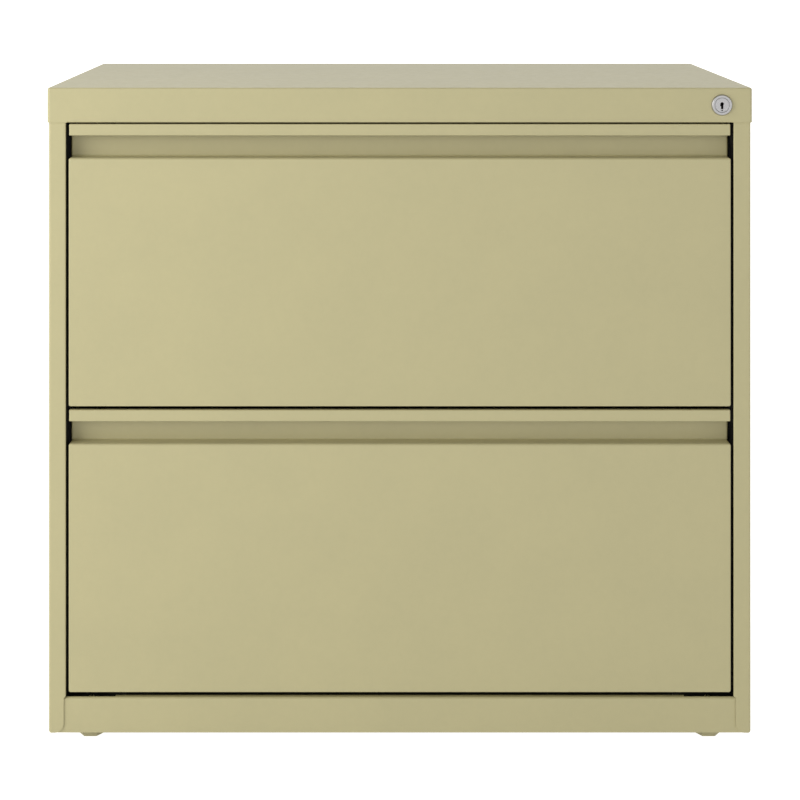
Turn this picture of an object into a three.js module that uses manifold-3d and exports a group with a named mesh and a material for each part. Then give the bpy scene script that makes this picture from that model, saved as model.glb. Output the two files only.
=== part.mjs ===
// A two-drawer lateral filing cabinet in painted sheet steel.
//
// Millimetres. +X is to the right, the drawers open towards -Y, and +Z is up. The origin
// is on the floor, under the middle of the cabinet. Every panel is a folded strip of sheet:
// a middle line with rounded corners, given the sheet's thickness and run out to length.

import * as THREE from 'three';
import { mergeVertices } from 'three/addons/utils/BufferGeometryUtils.js';
import Module from 'manifold-3d';

const wasm = await Module();
wasm.setup();

// ---- Driving dimensions ----------------------------------------------------------------

const WIDTH = 762; // over the cap
const DEPTH = 473; // over the cap, front to back
const HEIGHT = 711; // floor to the top of the cap
const SHEET = 1.1; // steel of the casing
const THIN = 0.9; // steel of the drawers
const SEAT = 0.35; // clearance between two pieces that meet
const BEND = 1.6; // bend radius, on the middle of the sheet
const BEND_STEP = Math.PI / 6; // turn of each facet of a bend

const BEZEL_PROUD = 2.5; // the lock stands this far in front of the cap
const CAP_FRONT = -(DEPTH - BEZEL_PROUD) / 2;
const CAP_BACK = CAP_FRONT + DEPTH;
const APRON = 37.7; // height of the cap's turned-down edge
const APRON_BOTTOM = HEIGHT - APRON;
const CAP_CORNER = 3;
const CAP_EDGE = 2;

const SIDE_FACE = WIDTH / 2 - SHEET - SEAT; // outer face of a side panel
const BODY_FRONT = CAP_FRONT + SHEET + 0.3; // front face of the side panels' flanges
const BODY_BACK = CAP_BACK - SHEET - 0.3;
const BODY_BOTTOM = 13.2;
const BODY_TOP = HEIGHT - SHEET - 1.1;
const FLANGE_EDGE = 361; // inner edge of the front flanges
const FLANGE_RETURN = 14;
const RETURN_LEAN = 3; // the return is folded past square by this much at its edge
const RETURN_BEND = 0.85;
const REAR_FLANGE = 15;
const RAIL_DEPTH = 21; // the front top rail, behind the cap's face
const RAIL_INSET = 3.5; // and its flanges inside the cap's edges
const FOOT_FLANGE = 17; // inward flange along the bottom of a side panel

const BASE_TOP = 52.2;
const BASE_FACE = BODY_FRONT + SHEET + 0.4; // the base rails sit behind the flanges
const BASE_FLANGE = 7.5; // folds of the base rails
const BASE_BEND = 2;
const BASE_NOTCH = 308; // the base's top flange stops here, clear of the glides
const BASE_SEAM = 363.3; // edge of the flanges where the return is cut away

const POST_FACE = 359.5; // inner face of the posts, where the slides are fixed
const POST_WIDTH = 35;
const POST_FRONT = -200;
const POST_BOTTOM = 47;
const POST_TOP = 700;
const SLOT_HEIGHT = 14;
const SLOT_WIDTH = 4;
const SLOT_INSET = 20; // slot behind the post's front face

const FRONT_FACE = CAP_FRONT + 0.65; // face of the drawer fronts
const FRONT_WIDTH = 715.8;
const FRONT_PITCH = 309;
const LOWER_FRONT = 57.4; // bottom edge of the lower drawer front
const PANEL_HEIGHT = 268.6;
const PULL_OPENING = 24.2;
const LIP_HEIGHT = 12.4;
const FRONT_HEIGHT = PANEL_HEIGHT + PULL_OPENING + LIP_HEIGHT;
const PULL_DEPTH = 22.5;
const LIP_RETURN = 5;
const LIP_SHELF = 6.5; // width of the lip's top, behind its face
const ROOF_DROP = 4; // the pull's roof is this far below it
const PULL_INSET = 0.5; // the pull is this much shorter than the panel at each end
const CORNER_RELIEF = 1.8;
const SKIRT = 20; // depth of the flanges round the drawer front
const FRONT_BEND = 0.9; // the fronts are folded sharper than the rest
const LINER_FLANGE = 16;

const BOX_SIDE = 346.2; // outer face of a drawer side
const BOX_FRONT = FRONT_FACE + PULL_DEPTH + THIN + 0.4;
const BOX_BACK = 200;
const BOX_BOTTOM = 14; // above the bottom edge of the front
const BOX_TOP = 262;
const BOX_HEM = 10;
const BOX_FLANGE = 15; // along the bottom of the sides and the ends of the back
const BOX_HEM_WIDTH = 12;
const TRAY_EDGE = 22; // upstand of the drawer bottom
const FOLDER_SPAN = 315; // between the two hang rails

const SLIDE_HEIGHT = 95; // slide centre above the bottom edge of the front
const SLIDE_FRONT = -198;
const SLIDE_LENGTH = 406;
const SLIDE_GAUGE = 1.2;
const SLIDE_FACE = POST_FACE - 0.3; // back of the cabinet member
const BALL = 4.2;
const OUTER_HALF = 22.8; // half the height of the cabinet member
const MIDDLE_HALF = OUTER_HALF - SLIDE_GAUGE - BALL - 0.6;
const INNER_HALF = MIDDLE_HALF - SLIDE_GAUGE - BALL - 0.6;
const SLOT_PITCH = FRONT_PITCH / 6; // so that every drawer meets the same slots
const LUG_HALF = 5; // half the height of a lug of the cabinet member

const GLIDE_X = 337.9;
const GLIDE_INSET = 40; // glide centre in from the cap's front face, and from its back
const GLIDE_FOOT = 25.4 / Math.sqrt(3); // radius over the corners
const FOOT_TOP = 13;
const STUD = 8;
const STUD_TOP = 40.5;
const BRACKET_LEVEL = 20;
const BRACKET_SHEET = 2;
const BRACKET_LENGTH = 50;
const BRACKET_RISE = 22; // upstand at each end of the saddle
const BRACKET_END = 302; // inner end, past the end of the base's top flange

const LOCK_X = 348.1;
const LOCK_Z = 692.3;
const BEZEL = 23.2;
const PLUG_FACE = 15.5;
const PLUG_BODY = 11.9;
const PLUG_STEP = 4.6; // behind the cap's face, where the plug gets narrower
const KEYWAY_EYE = 1.4; // the eye stands this far above the lock's axis
const BARREL = 18.4;
const TAIL = 5; // across the plug's square tail
const BARREL_END = CAP_FRONT + 22.2;
const CAM_THROW = 7; // lock axis to the cam's pin
const CAM_RISE = CAM_THROW * Math.SQRT1_2; // the pin starts this far up and to the right
const PIN = 2.6;
const BAR_SHEET = 2;
const BAR_FRONT = POST_FRONT - SEAT - BAR_SHEET; // the bar slides against the post
const BAR_INNER = 362.6;
const BAR_OUTER = 372.6;
const BAR_BOTTOM = 285;
const BAR_TOP = 704;
const TAB_REACH = 351; // the bar's arm and tabs point inwards to here
const TAB_HEIGHT = 12;
const CAM_SHEET = 2;
const CAM_FRONT = BAR_FRONT - 1 - CAM_SHEET;
const CATCH_HEIGHT = 240; // catch above the bottom edge of the front
const CATCH_REACH = 357.5;
const CATCH_HALF = 3;
const GUIDE_HEIGHTS = [330, 480, 650];
const CATCH_CLEAR = 1.5; // between a catch and the tab that locks it

// ---- Finishes --------------------------------------------------------------------------

const finish = (color, roughness, metalness) =>
  new THREE.MeshStandardMaterial({ color, roughness, metalness, flatShading: true });

const PAINT = finish(0xc0ba93, 0.5, 0);
const ZINC = finish(0xb4b8bb, 0.35, 1);
const SATIN_NICKEL = finish(0xc3c4c2, 0.3, 1);
const BLACK_COAT = finish(0x1b1a17, 0.5, 0);

// ---- Shapes and solids -----------------------------------------------------------------

const vector = (x, y) => new THREE.Vector2(x, y);
const along = (angle) => vector(Math.cos(angle), Math.sin(angle));
const leftOf = (angle) => vector(-Math.sin(angle), Math.cos(angle));

// The outline of a folded strip. Its middle line runs through the corners [u, v], and a
// third number there is that corner's own bend radius.
function foldedStrip(corners, thickness, radius = BEND) {
  const points = corners.map(([u, v]) => vector(u, v));
  const heading = (i) => points[i + 1].clone().sub(points[i]).angle();
  const left = [];
  const right = [];
  const put = (point, angle) => {
    const out = leftOf(angle).multiplyScalar(thickness / 2);
    left.push(point.clone().add(out));
    right.unshift(point.clone().sub(out));
  };
  put(points[0], heading(0));
  for (let i = 1; i < points.length - 1; i += 1) {
    const before = heading(i - 1);
    const change = heading(i) - before;
    const turn = Math.atan2(Math.sin(change), Math.cos(change));
    const bend = (corners[i][2] ?? radius) * Math.sign(turn);
    const start = points[i].clone().addScaledVector(along(before), -bend * Math.tan(turn / 2));
    const centre = start.addScaledVector(leftOf(before), bend);
    const steps = Math.max(2, Math.round(Math.abs(turn) / BEND_STEP));
    for (let k = 0; k <= steps; k += 1) {
      const angle = before + (turn * k) / steps;
      put(centre.clone().addScaledVector(leftOf(angle), -bend), angle);
    }
  }
  put(points.at(-1), heading(points.length - 2));
  return new THREE.Shape([...left, ...right]);
}

const run = (shape, length, options) =>
  new THREE.ExtrudeGeometry(shape, { depth: length, bevelEnabled: false, curveSegments: 4, ...options });

// A shape run out along an axis: drawn in (y, z) for X, in (x, z) for Y, in (x, y) for Z.
function alongX(shape, from, to) {
  const turn = new THREE.Matrix4().set(0, 0, 1, 0, 1, 0, 0, 0, 0, 1, 0, 0, 0, 0, 0, 1);
  return solid(run(shape, to - from).applyMatrix4(turn).translate(from, 0, 0));
}
const alongY = (shape, from, to) =>
  solid(run(shape, to - from).rotateX(Math.PI / 2).translate(0, to, 0));
const alongZ = (shape, from, to) => solid(run(shape, to - from).translate(0, 0, from));

// A closed geometry as a solid that can be joined and cut.
function solid(geometry) {
  const bare = geometry.clone();
  bare.deleteAttribute('normal');
  bare.deleteAttribute('uv');
  const welded = mergeVertices(bare);
  const vertProperties = new Float32Array(welded.attributes.position.array);
  const triVerts = new Uint32Array(welded.index.array);
  return new wasm.Manifold(new wasm.Mesh({ numProp: 3, vertProperties, triVerts }));
}

const join = (first, ...others) => others.reduce((whole, piece) => whole.add(piece), first);
const cut = (first, ...others) => others.reduce((whole, tool) => whole.subtract(tool), first);

function block(x0, x1, y0, y1, z0, z1) {
  const box = new THREE.BoxGeometry(Math.abs(x1 - x0), y1 - y0, z1 - z0);
  return solid(box.translate((x0 + x1) / 2, (y0 + y1) / 2, (z0 + z1) / 2));
}

// A round bar standing on (x, y), and one lying along Y through (x, z).
const upright = (radius, x, y, z0, z1, sides = 16) =>
  solid(new THREE.CylinderGeometry(radius, radius, z1 - z0, sides)
    .rotateX(Math.PI / 2).translate(x, y, (z0 + z1) / 2));
const level = (radius, x, z, y0, y1, sides = 24) =>
  solid(new THREE.CylinderGeometry(radius, radius, y1 - y0, sides)
    .translate(x, (y0 + y1) / 2, z));

// What is cut off a square corner at (u, v) to leave it round. The sheet lies on the
// (alongU, alongV) side of the corner.
function cornerWaste(u, v, radius, alongU, alongV) {
  const beyond = 1;
  const [centreU, centreV] = [u + alongU * radius, v + alongV * radius];
  const points = [
    vector(u - alongU * beyond, v - alongV * beyond),
    vector(centreU, v - alongV * beyond),
  ];
  for (let k = 0; k <= 6; k += 1) {
    const angle = (k / 6) * (Math.PI / 2);
    const [s, c] = [Math.sin(angle), Math.cos(angle)];
    points.push(vector(centreU - alongU * radius * s, centreV - alongV * radius * c));
  }
  points.push(vector(u - alongU * beyond, centreV));
  return new THREE.Shape(points);
}

function roundedRectangle(x0, x1, y0, y1, radius) {
  const shape = new THREE.Shape();
  shape.absarc(x1 - radius, y0 + radius, radius, -Math.PI / 2, 0);
  shape.absarc(x1 - radius, y1 - radius, radius, 0, Math.PI / 2);
  shape.absarc(x0 + radius, y1 - radius, radius, Math.PI / 2, Math.PI);
  shape.absarc(x0 + radius, y0 + radius, radius, Math.PI, Math.PI * 1.5);
  return shape;
}

// ---- Assembly --------------------------------------------------------------------------

const cabinet = new THREE.Group();
const BOTH_SIDES = [['left', -1], ['right', 1]];

function addPiece(name, piece, material, place = {}) {
  const { vertProperties, triVerts } = piece.getMesh();
  const indexed = new THREE.BufferGeometry();
  indexed.setAttribute('position', new THREE.BufferAttribute(vertProperties, 3));
  indexed.setIndex(new THREE.BufferAttribute(triVerts, 1));
  const geometry = indexed.toNonIndexed();
  geometry.computeVertexNormals();
  const mesh = new THREE.Mesh(geometry, material);
  mesh.name = name;
  mesh.position.set(place.x ?? 0, place.y ?? 0, place.z ?? 0);
  cabinet.add(mesh);
}

// ---- Casing ----------------------------------------------------------------------------

// The cap is a tray turned upside down: its corners are welded and ground round.
function topCap() {
  const tray = (inset, bottom) => {
    const outline = roundedRectangle(
      -WIDTH / 2 + inset, WIDTH / 2 - inset, CAP_FRONT + inset, CAP_BACK - inset, CAP_CORNER - inset);
    const edge = CAP_EDGE - inset;
    const options = {
      bevelEnabled: true, bevelThickness: edge, bevelSize: edge, bevelOffset: -edge,
      bevelSegments: 3, curveSegments: 3,
    };
    const height = HEIGHT - inset - bottom - 2 * edge;
    return solid(run(outline, height, options).translate(0, 0, bottom + edge));
  };
  const below = 12;
  const shell = cut(
    tray(0, APRON_BOTTOM - below / 2),
    tray(SHEET, APRON_BOTTOM - below),
    block(-WIDTH, WIDTH, -DEPTH, DEPTH, APRON_BOTTOM - below, APRON_BOTTOM),
  );
  const returnFlange = foldedStrip([
    [CAP_FRONT + SHEET / 2, APRON_BOTTOM + 12],
    [CAP_FRONT + SHEET / 2, APRON_BOTTOM + SHEET / 2],
    [CAP_FRONT + FLANGE_RETURN, APRON_BOTTOM + SHEET / 2],
  ], SHEET);
  const reach = FLANGE_EDGE - 1.3;
  const bendWaste = block(-reach, reach, CAP_FRONT - 1, CAP_FRONT + SHEET + BEND,
    APRON_BOTTOM - 1, APRON_BOTTOM + SHEET + BEND);
  return cut(
    join(cut(shell, bendWaste), alongX(returnFlange, -reach, reach)),
    level(BARREL / 2 + SEAT, LOCK_X, LOCK_Z, CAP_FRONT - 1, CAP_FRONT + 2 * SHEET),
  );
}

// The rail behind the cap's front edge. The lock is nutted to its web.
function frontTopRail() {
  const web = CAP_FRONT + SHEET + SEAT + SHEET / 2;
  const rear = CAP_FRONT + RAIL_DEPTH;
  const [bottom, top] = [APRON_BOTTOM + RAIL_INSET, HEIGHT - RAIL_INSET];
  const section = foldedStrip([[rear, top], [web, top], [web, bottom], [rear, bottom]], SHEET);
  const end = FLANGE_EDGE - SEAT;
  return cut(
    alongX(section, -end, end),
    level(BARREL / 2 + SEAT, LOCK_X, LOCK_Z, web - SHEET, web + SHEET),
  );
}

// A side panel folds round into a front flange with a return, a rear flange and a bottom
// flange. At the base the return is cut away, so that the base rail passes behind.
function sidePanel(side) {
  const half = SHEET / 2;
  const turn = Math.PI / 2 + Math.atan2(RETURN_LEAN, FLANGE_RETURN - half);
  const shortfall = RETURN_BEND * (Math.tan(turn / 2) - 1); // of a bend past square
  const corner = FLANGE_EDGE + half - shortfall;
  const section = foldedStrip([
    [side * (corner + RETURN_LEAN), BODY_FRONT + FLANGE_RETURN],
    [side * corner, BODY_FRONT + half, RETURN_BEND],
    [side * (SIDE_FACE - half), BODY_FRONT + half],
    [side * (SIDE_FACE - half), BODY_BACK - half],
    [side * (SIDE_FACE - REAR_FLANGE), BODY_BACK - half],
  ], SHEET);
  const bottomBend = 3;
  const bottomFlange = foldedStrip([
    [side * (SIDE_FACE - half), BODY_BOTTOM + bottomBend + 4],
    [side * (SIDE_FACE - half), BODY_BOTTOM + half, bottomBend],
    [side * (SIDE_FACE - FOOT_FLANGE), BODY_BOTTOM + half],
  ], SHEET);
  const [flangeStart, flangeEnd] = [BODY_FRONT + 6, BODY_BACK - 6];
  const [clear, below] = [FLANGE_EDGE - 2, BODY_BOTTOM - 1]; // beyond the sheet's edges
  const [shearTop, shearFoot] = [BASE_TOP + 1.2, BASE_TOP - 1.2]; // a slanting cut
  const returnWaste = new THREE.Shape([
    vector(side * clear, below), vector(side * BASE_SEAM, below), vector(side * BASE_SEAM, shearFoot),
    vector(side * (FLANGE_EDGE - 0.5), shearTop), vector(side * clear, shearTop),
  ]);
  const frontOnly = [BODY_FRONT - 1, BODY_FRONT + SHEET + 0.2];
  const trimmed = cut(
    alongZ(section, BODY_BOTTOM, BODY_TOP),
    alongY(returnWaste, ...frontOnly),
    block(side * clear, side * (FLANGE_EDGE + RETURN_LEAN + 3),
      frontOnly[1], BODY_FRONT + FLANGE_RETURN + 1, below, shearTop),
    alongY(cornerWaste(side * BASE_SEAM, BODY_BOTTOM, 8, side, 1), ...frontOnly),
    alongY(cornerWaste(side * SIDE_FACE, BODY_BOTTOM, 3, -side, 1), BODY_FRONT - 1, BODY_BACK + 1),
  );
  const edgeWaste = block(side * (SIDE_FACE - 3), side * (SIDE_FACE + 1),
    flangeStart, flangeEnd, below, BODY_BOTTOM + bottomBend + 2);
  return join(cut(trimmed, edgeWaste), alongY(bottomFlange, flangeStart, flangeEnd));
}

// The back panel lies inside the side panels' rear flanges, folded forward at the top.
function backPanel() {
  const middle = BODY_BACK - SHEET - SEAT - SHEET / 2;
  const [bottom, top] = [BODY_BOTTOM + SHEET + SEAT, BODY_TOP - SHEET / 2];
  const section = foldedStrip([[middle - REAR_FLANGE, top], [middle, top], [middle, bottom]], SHEET);
  const end = SIDE_FACE - SHEET - 1;
  return alongX(section, -end, end);
}

// A base rail is folded inwards at the top, and the rear one at the bottom too. The top
// flange stops short of the ends, so that a screwdriver reaches the glides.
function baseRail(isFront) {
  const outward = isFront ? -1 : 1;
  const face = isFront ? BASE_FACE : BODY_BACK - 2 * (SHEET + SEAT);
  const at = (inward) => face - outward * inward;
  const half = SHEET / 2;
  const top = BASE_TOP - half;
  const rearBottom = BODY_BOTTOM + half + SHEET + SEAT;
  const lower = isFront
    ? [[at(half), BODY_BOTTOM]]
    : [[at(half), rearBottom], [at(BASE_FLANGE), rearBottom]];
  const section = foldedStrip(
    [[at(BASE_FLANGE), top], [at(half), top, BASE_BEND], ...lower], SHEET);
  const end = SIDE_FACE - SHEET - 2;
  const rail = alongX(section, -end, end);
  const deep = [at(half + SHEET), at(BASE_FLANGE + 5)].sort((a, b) => a - b);
  const notches = [-1, 1].map((side) => block(side * BASE_NOTCH, side * (end + 1),
    ...deep, BASE_TOP - BASE_BEND - 2, BASE_TOP + 1));
  const ends = [-1, 1].map((side) => block(side * (SIDE_FACE - FOOT_FLANGE - 1), side * (end + 1),
    ...deep, BODY_BOTTOM - 1, BODY_BOTTOM + 5));
  return cut(rail, ...notches, ...ends);
}

// A post is a channel with its back to the drawers, pierced with a ladder of slots that
// take the slides. The right front post also carries the guides of the lock bar.
function post(side, front, hasGuides) {
  const web = side * (POST_FACE + SHEET / 2);
  const open = side * (SIDE_FACE - SHEET - SEAT);
  const rear = front + POST_WIDTH;
  const half = SHEET / 2;
  const section = foldedStrip(
    [[open, front + half], [web, front + half], [web, rear - half], [open, rear - half]], SHEET);
  const slots = [];
  const first = LOWER_FRONT + SLIDE_HEIGHT - SLOT_PITCH;
  for (let z = first; z < POST_TOP - SLOT_HEIGHT; z += SLOT_PITCH) {
    slots.push(block(side * (POST_FACE - 1), side * (POST_FACE + 3),
      front + SLOT_INSET, front + SLOT_INSET + SLOT_WIDTH, z - SLOT_HEIGHT / 2, z + SLOT_HEIGHT / 2));
  }
  const channel = cut(alongZ(section, POST_BOTTOM, POST_TOP), ...slots);
  if (!hasGuides) return channel;
  const near = BAR_FRONT - SEAT - half;
  const [inner, outer] = [BAR_INNER - SEAT - half, BAR_OUTER + SEAT + half];
  const guide = foldedStrip([
    [inner, front + half], [inner, near, 0.9], [outer, near, 0.9], [outer, front + half],
  ], SHEET);
  return join(channel, ...GUIDE_HEIGHTS.map((z) => alongZ(guide, z - 6, z + 6)));
}

// ---- Base hardware ---------------------------------------------------------------------

const glideY = (isFront) => (isFront ? CAP_FRONT + GLIDE_INSET : CAP_BACK - GLIDE_INSET);

// A saddle across the corner of the base, with a weld nut for the glide's stud.
function glideBracket(side, isFront) {
  const y = glideY(isFront);
  const outward = isFront ? -1 : 1;
  const half = BRACKET_SHEET / 2;
  const near = (isFront ? BASE_FACE : BODY_BACK - 2 * (SHEET + SEAT)) - outward * (SHEET + SEAT + half);
  const far = near - outward * BRACKET_LENGTH;
  const rise = BRACKET_LEVEL + BRACKET_RISE;
  const section = foldedStrip([
    [near, rise], [near, BRACKET_LEVEL, 3], [far, BRACKET_LEVEL, 3], [far, rise],
  ], BRACKET_SHEET);
  const ends = [side * BRACKET_END, side * (SIDE_FACE - SHEET - 1)].sort((a, b) => a - b);
  const saddle = alongX(section, ...ends);
  const nut = upright(8, side * GLIDE_X, y, BRACKET_LEVEL, BRACKET_LEVEL + 8, 6);
  return cut(join(saddle, nut),
    upright(STUD / 2 + SEAT, side * GLIDE_X, y, BRACKET_LEVEL - 5, BRACKET_LEVEL + 12));
}

// A levelling glide, about its own axis: a six-sided foot with a flat to the front, and a
// stud slotted from front to back.
function glide() {
  const profile = [
    [0, 0], [GLIDE_FOOT - 1.6, 0], [GLIDE_FOOT - 0.5, 1.1], [GLIDE_FOOT, FOOT_TOP - 0.8],
    [GLIDE_FOOT - 0.8, FOOT_TOP], [0, FOOT_TOP],
  ].map(([radius, height]) => vector(radius, height));
  const foot = new THREE.LatheGeometry(profile, 6, Math.PI / 6).rotateX(Math.PI / 2);
  const stud = upright(STUD / 2, 0, 0, FOOT_TOP - 1, STUD_TOP);
  const slot = block(-0.7, 0.7, -STUD, STUD, STUD_TOP - 2, STUD_TOP + 1);
  return cut(join(solid(foot), stud), slot);
}

// ---- Lock ------------------------------------------------------------------------------

// A turned piece about the lock's axis, from [radius, distance behind the cap's face].
function turned(profile, segments) {
  const points = profile.map(([radius, behind]) => vector(radius, CAP_FRONT + behind));
  return solid(new THREE.LatheGeometry(points, segments).translate(LOCK_X, 0, LOCK_Z));
}

// The barrel and its bezel with a quarter-round rim, bored in two steps for the plug.
function lockHousing() {
  const [bore, mouth] = [PLUG_BODY / 2 + SEAT, PLUG_FACE / 2 + SEAT];
  const shoulder = PLUG_STEP + SEAT;
  const seat = 0.3; // between the bezel and the cap
  const behind = BARREL_END - CAP_FRONT;
  const round = BEZEL_PROUD - seat;
  const rim = [0, 1, 2, 3, 4].map((step) => {
    const angle = (step / 4) * (Math.PI / 2);
    return [BEZEL / 2 - round * (1 - Math.cos(angle)), -seat - round * Math.sin(angle)];
  });
  return turned([
    [bore, shoulder], [bore, behind], [BARREL / 2, behind], [BARREL / 2, -seat], ...rim,
    [mouth, -BEZEL_PROUD], [mouth, shoulder], [bore, shoulder],
  ].reverse(), 32);
}

// The plug turns in the barrel. Its keyway is a round hole over a narrow slot, and a small
// hole under it takes the tool that frees the plug.
function lockPlug() {
  const [front, rear] = [-BEZEL_PROUD + 0.4, BARREL_END - CAP_FRONT + 0.4];
  const body = turned([
    [0, front], [PLUG_FACE / 2, front], [PLUG_FACE / 2, PLUG_STEP],
    [PLUG_BODY / 2, PLUG_STEP], [PLUG_BODY / 2, rear], [0, rear],
  ], 32);
  const square = block(LOCK_X - TAIL / 2, LOCK_X + TAIL / 2, BARREL_END, CAM_FRONT + CAM_SHEET + 0.5,
    LOCK_Z - TAIL / 2, LOCK_Z + TAIL / 2);
  const face = [CAP_FRONT - BEZEL_PROUD - 1, CAP_FRONT + 9];
  const eye = LOCK_Z + KEYWAY_EYE;
  return cut(join(body, square),
    block(LOCK_X - 1, LOCK_X + 1, ...face, LOCK_Z - 4.5, eye),
    level(1.8, LOCK_X, eye, ...face, 16),
    level(0.7, LOCK_X, LOCK_Z - 6.3, face[0], CAP_FRONT + 1, 12));
}

// The hexagon nut that holds the barrel against the rail.
function lockNut() {
  const [front, rear] = [CAP_FRONT + 2 * (SHEET + SEAT) + 0.3, CAP_FRONT + 6];
  const acrossCorners = 22 / Math.cos(Math.PI / 6);
  const nut = new THREE.CylinderGeometry(acrossCorners / 2, acrossCorners / 2, rear - front, 6);
  return cut(
    solid(nut.translate(LOCK_X, (front + rear) / 2, LOCK_Z)),
    level(BARREL / 2 + 0.25, LOCK_X, LOCK_Z, front - 1, rear + 1),
  );
}

// The cam on the plug's square tail. Its pin lifts and lowers the lock bar.
function lockCam() {
  const [pinX, pinZ] = [LOCK_X + CAM_RISE, LOCK_Z + CAM_RISE];
  const hub = 5.4;
  const boss = 2.7;
  const side = vector(-Math.SQRT1_2, Math.SQRT1_2);
  const arm = new THREE.Shape([
    vector(LOCK_X, LOCK_Z).addScaledVector(side, hub), vector(LOCK_X, LOCK_Z).addScaledVector(side, -hub),
    vector(pinX, pinZ).addScaledVector(side, -boss), vector(pinX, pinZ).addScaledVector(side, boss),
  ]);
  const rear = CAM_FRONT + CAM_SHEET;
  const hole = TAIL / 2 + SEAT;
  return cut(
    join(
      level(hub, LOCK_X, LOCK_Z, CAM_FRONT, rear), alongY(arm, CAM_FRONT, rear),
      level(boss, pinX, pinZ, CAM_FRONT, rear, 16),
      level(PIN / 2, pinX, pinZ, rear - 0.5, BAR_FRONT + BAR_SHEET + 1, 12),
    ),
    block(LOCK_X - hole, LOCK_X + hole, CAM_FRONT - 1, rear + 1, LOCK_Z - hole, LOCK_Z + hole),
  );
}

// The lock bar: a strip with an arm forked round the cam's pin, and a tab over each
// drawer's catch. Lowered by the cam, the tabs stand in front of the catches.
function lockBar() {
  const strip = (inner, outer, z0, z1) => alongY(
    roundedRectangle(inner, outer, z0, z1, 2), BAR_FRONT, BAR_FRONT + BAR_SHEET);
  const rooted = BAR_INNER + 5;
  const tabs = [0, 1].map((row) => {
    const under = LOWER_FRONT + row * FRONT_PITCH + CATCH_HEIGHT + CATCH_HALF + CATCH_CLEAR;
    return strip(TAB_REACH, rooted, under, under + TAB_HEIGHT);
  });
  const pinZ = LOCK_Z + CAM_RISE;
  const fork = block(TAB_REACH - 1, LOCK_X + CAM_THROW + PIN / 2 + 0.6,
    BAR_FRONT - 1, BAR_FRONT + BAR_SHEET + 1, pinZ - PIN / 2 - 0.7, pinZ + PIN / 2 + 0.7);
  const arm = strip(TAB_REACH, rooted, BAR_TOP - 16, BAR_TOP - 1);
  return cut(join(strip(BAR_INNER, BAR_OUTER, BAR_BOTTOM, BAR_TOP), arm, ...tabs), fork);
}

// ---- Drawers ---------------------------------------------------------------------------
// Heights in a drawer are above the bottom edge of its front.

// The drawer front: a pan with a full-width pull rolled into its top. The pull's ledge,
// back wall, stepped roof and hooked lip are one strip, open at both ends.
function drawerFront() {
  const half = THIN / 2;
  const face = FRONT_FACE + half;
  const wall = FRONT_FACE + PULL_DEPTH + half;
  const ledge = PANEL_HEIGHT - half;
  const lipBottom = PANEL_HEIGHT + PULL_OPENING + half;
  const top = FRONT_HEIGHT - half;
  const [step, roof] = [face + LIP_SHELF, top - ROOF_DROP];
  const panel = foldedStrip([
    [FRONT_FACE + SKIRT, half], [face, half], [face, ledge], [wall - 4, ledge],
  ], THIN, FRONT_BEND);
  const pull = foldedStrip([
    [face + 4, ledge], [wall, ledge], [wall, roof], [step, roof], [step, top], [face, top],
    [face, lipBottom], [face + LIP_RETURN, lipBottom],
  ], THIN, FRONT_BEND);
  const edge = FRONT_WIDTH / 2;
  const skirts = foldedStrip([
    [-edge + half, FRONT_FACE + SKIRT], [-edge + half, face],
    [edge - half, face], [edge - half, FRONT_FACE + SKIRT],
  ], THIN, FRONT_BEND);
  const flat = edge - CORNER_RELIEF;
  return join(
    alongX(panel, -flat, flat),
    alongX(pull, -edge + PULL_INSET, edge - PULL_INSET),
    alongZ(skirts, CORNER_RELIEF, PANEL_HEIGHT - CORNER_RELIEF),
  );
}

// The liner closes the back of the front. It nests inside the front's side flanges.
function drawerLiner() {
  const edge = FRONT_WIDTH / 2 - THIN - SEAT - THIN / 2;
  const wall = FRONT_FACE + PULL_DEPTH + THIN / 2;
  const section = foldedStrip(
    [[-edge, wall - LINER_FLANGE], [-edge, wall], [edge, wall], [edge, wall - LINER_FLANGE]], THIN);
  return alongZ(section, THIN + SEAT, PANEL_HEIGHT - THIN - SEAT);
}

// A drawer side is flanged inwards at the bottom and folded over at the top, where it
// carries the hang rails. The right side has the lock's catch.
function drawerSide(side) {
  const wall = side * (BOX_SIDE - THIN / 2);
  const section = foldedStrip([
    [wall - side * BOX_FLANGE, BOX_BOTTOM], [wall, BOX_BOTTOM], [wall, BOX_TOP],
    [wall - side * BOX_HEM_WIDTH, BOX_TOP], [wall - side * BOX_HEM_WIDTH, BOX_TOP - BOX_HEM],
  ], THIN);
  const panel = alongY(section, BOX_FRONT, BOX_BACK);
  if (side < 0) return panel;
  const catchFront = BAR_FRONT + BAR_SHEET + 1;
  return join(panel, block(BOX_SIDE - THIN / 2, CATCH_REACH,
    catchFront, catchFront + 3, CATCH_HEIGHT - CATCH_HALF, CATCH_HEIGHT + CATCH_HALF));
}

// The bottom is a tray resting on the sides' bottom flanges.
function drawerBottom() {
  const floor = BOX_BOTTOM + THIN + SEAT;
  const edge = BOX_SIDE - THIN - SEAT - THIN / 2;
  const rim = floor + TRAY_EDGE;
  const section = foldedStrip([[-edge, rim], [-edge, floor], [edge, floor], [edge, rim]], THIN);
  return alongY(section, BOX_FRONT + SEAT, BOX_BACK - 1);
}

// The back panel of the drawer, flanged forward at both ends.
function drawerBack() {
  const edge = BOX_SIDE - 2 * (THIN + SEAT) - THIN / 2;
  const wall = BOX_BACK - THIN / 2;
  const flange = wall - BOX_FLANGE;
  const section = foldedStrip([[-edge, flange], [-edge, wall], [edge, wall], [edge, flange]], THIN);
  return alongZ(section, BOX_BOTTOM + 2 * THIN + 2 * SEAT, BOX_TOP - BOX_HEM - 20);
}

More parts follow.
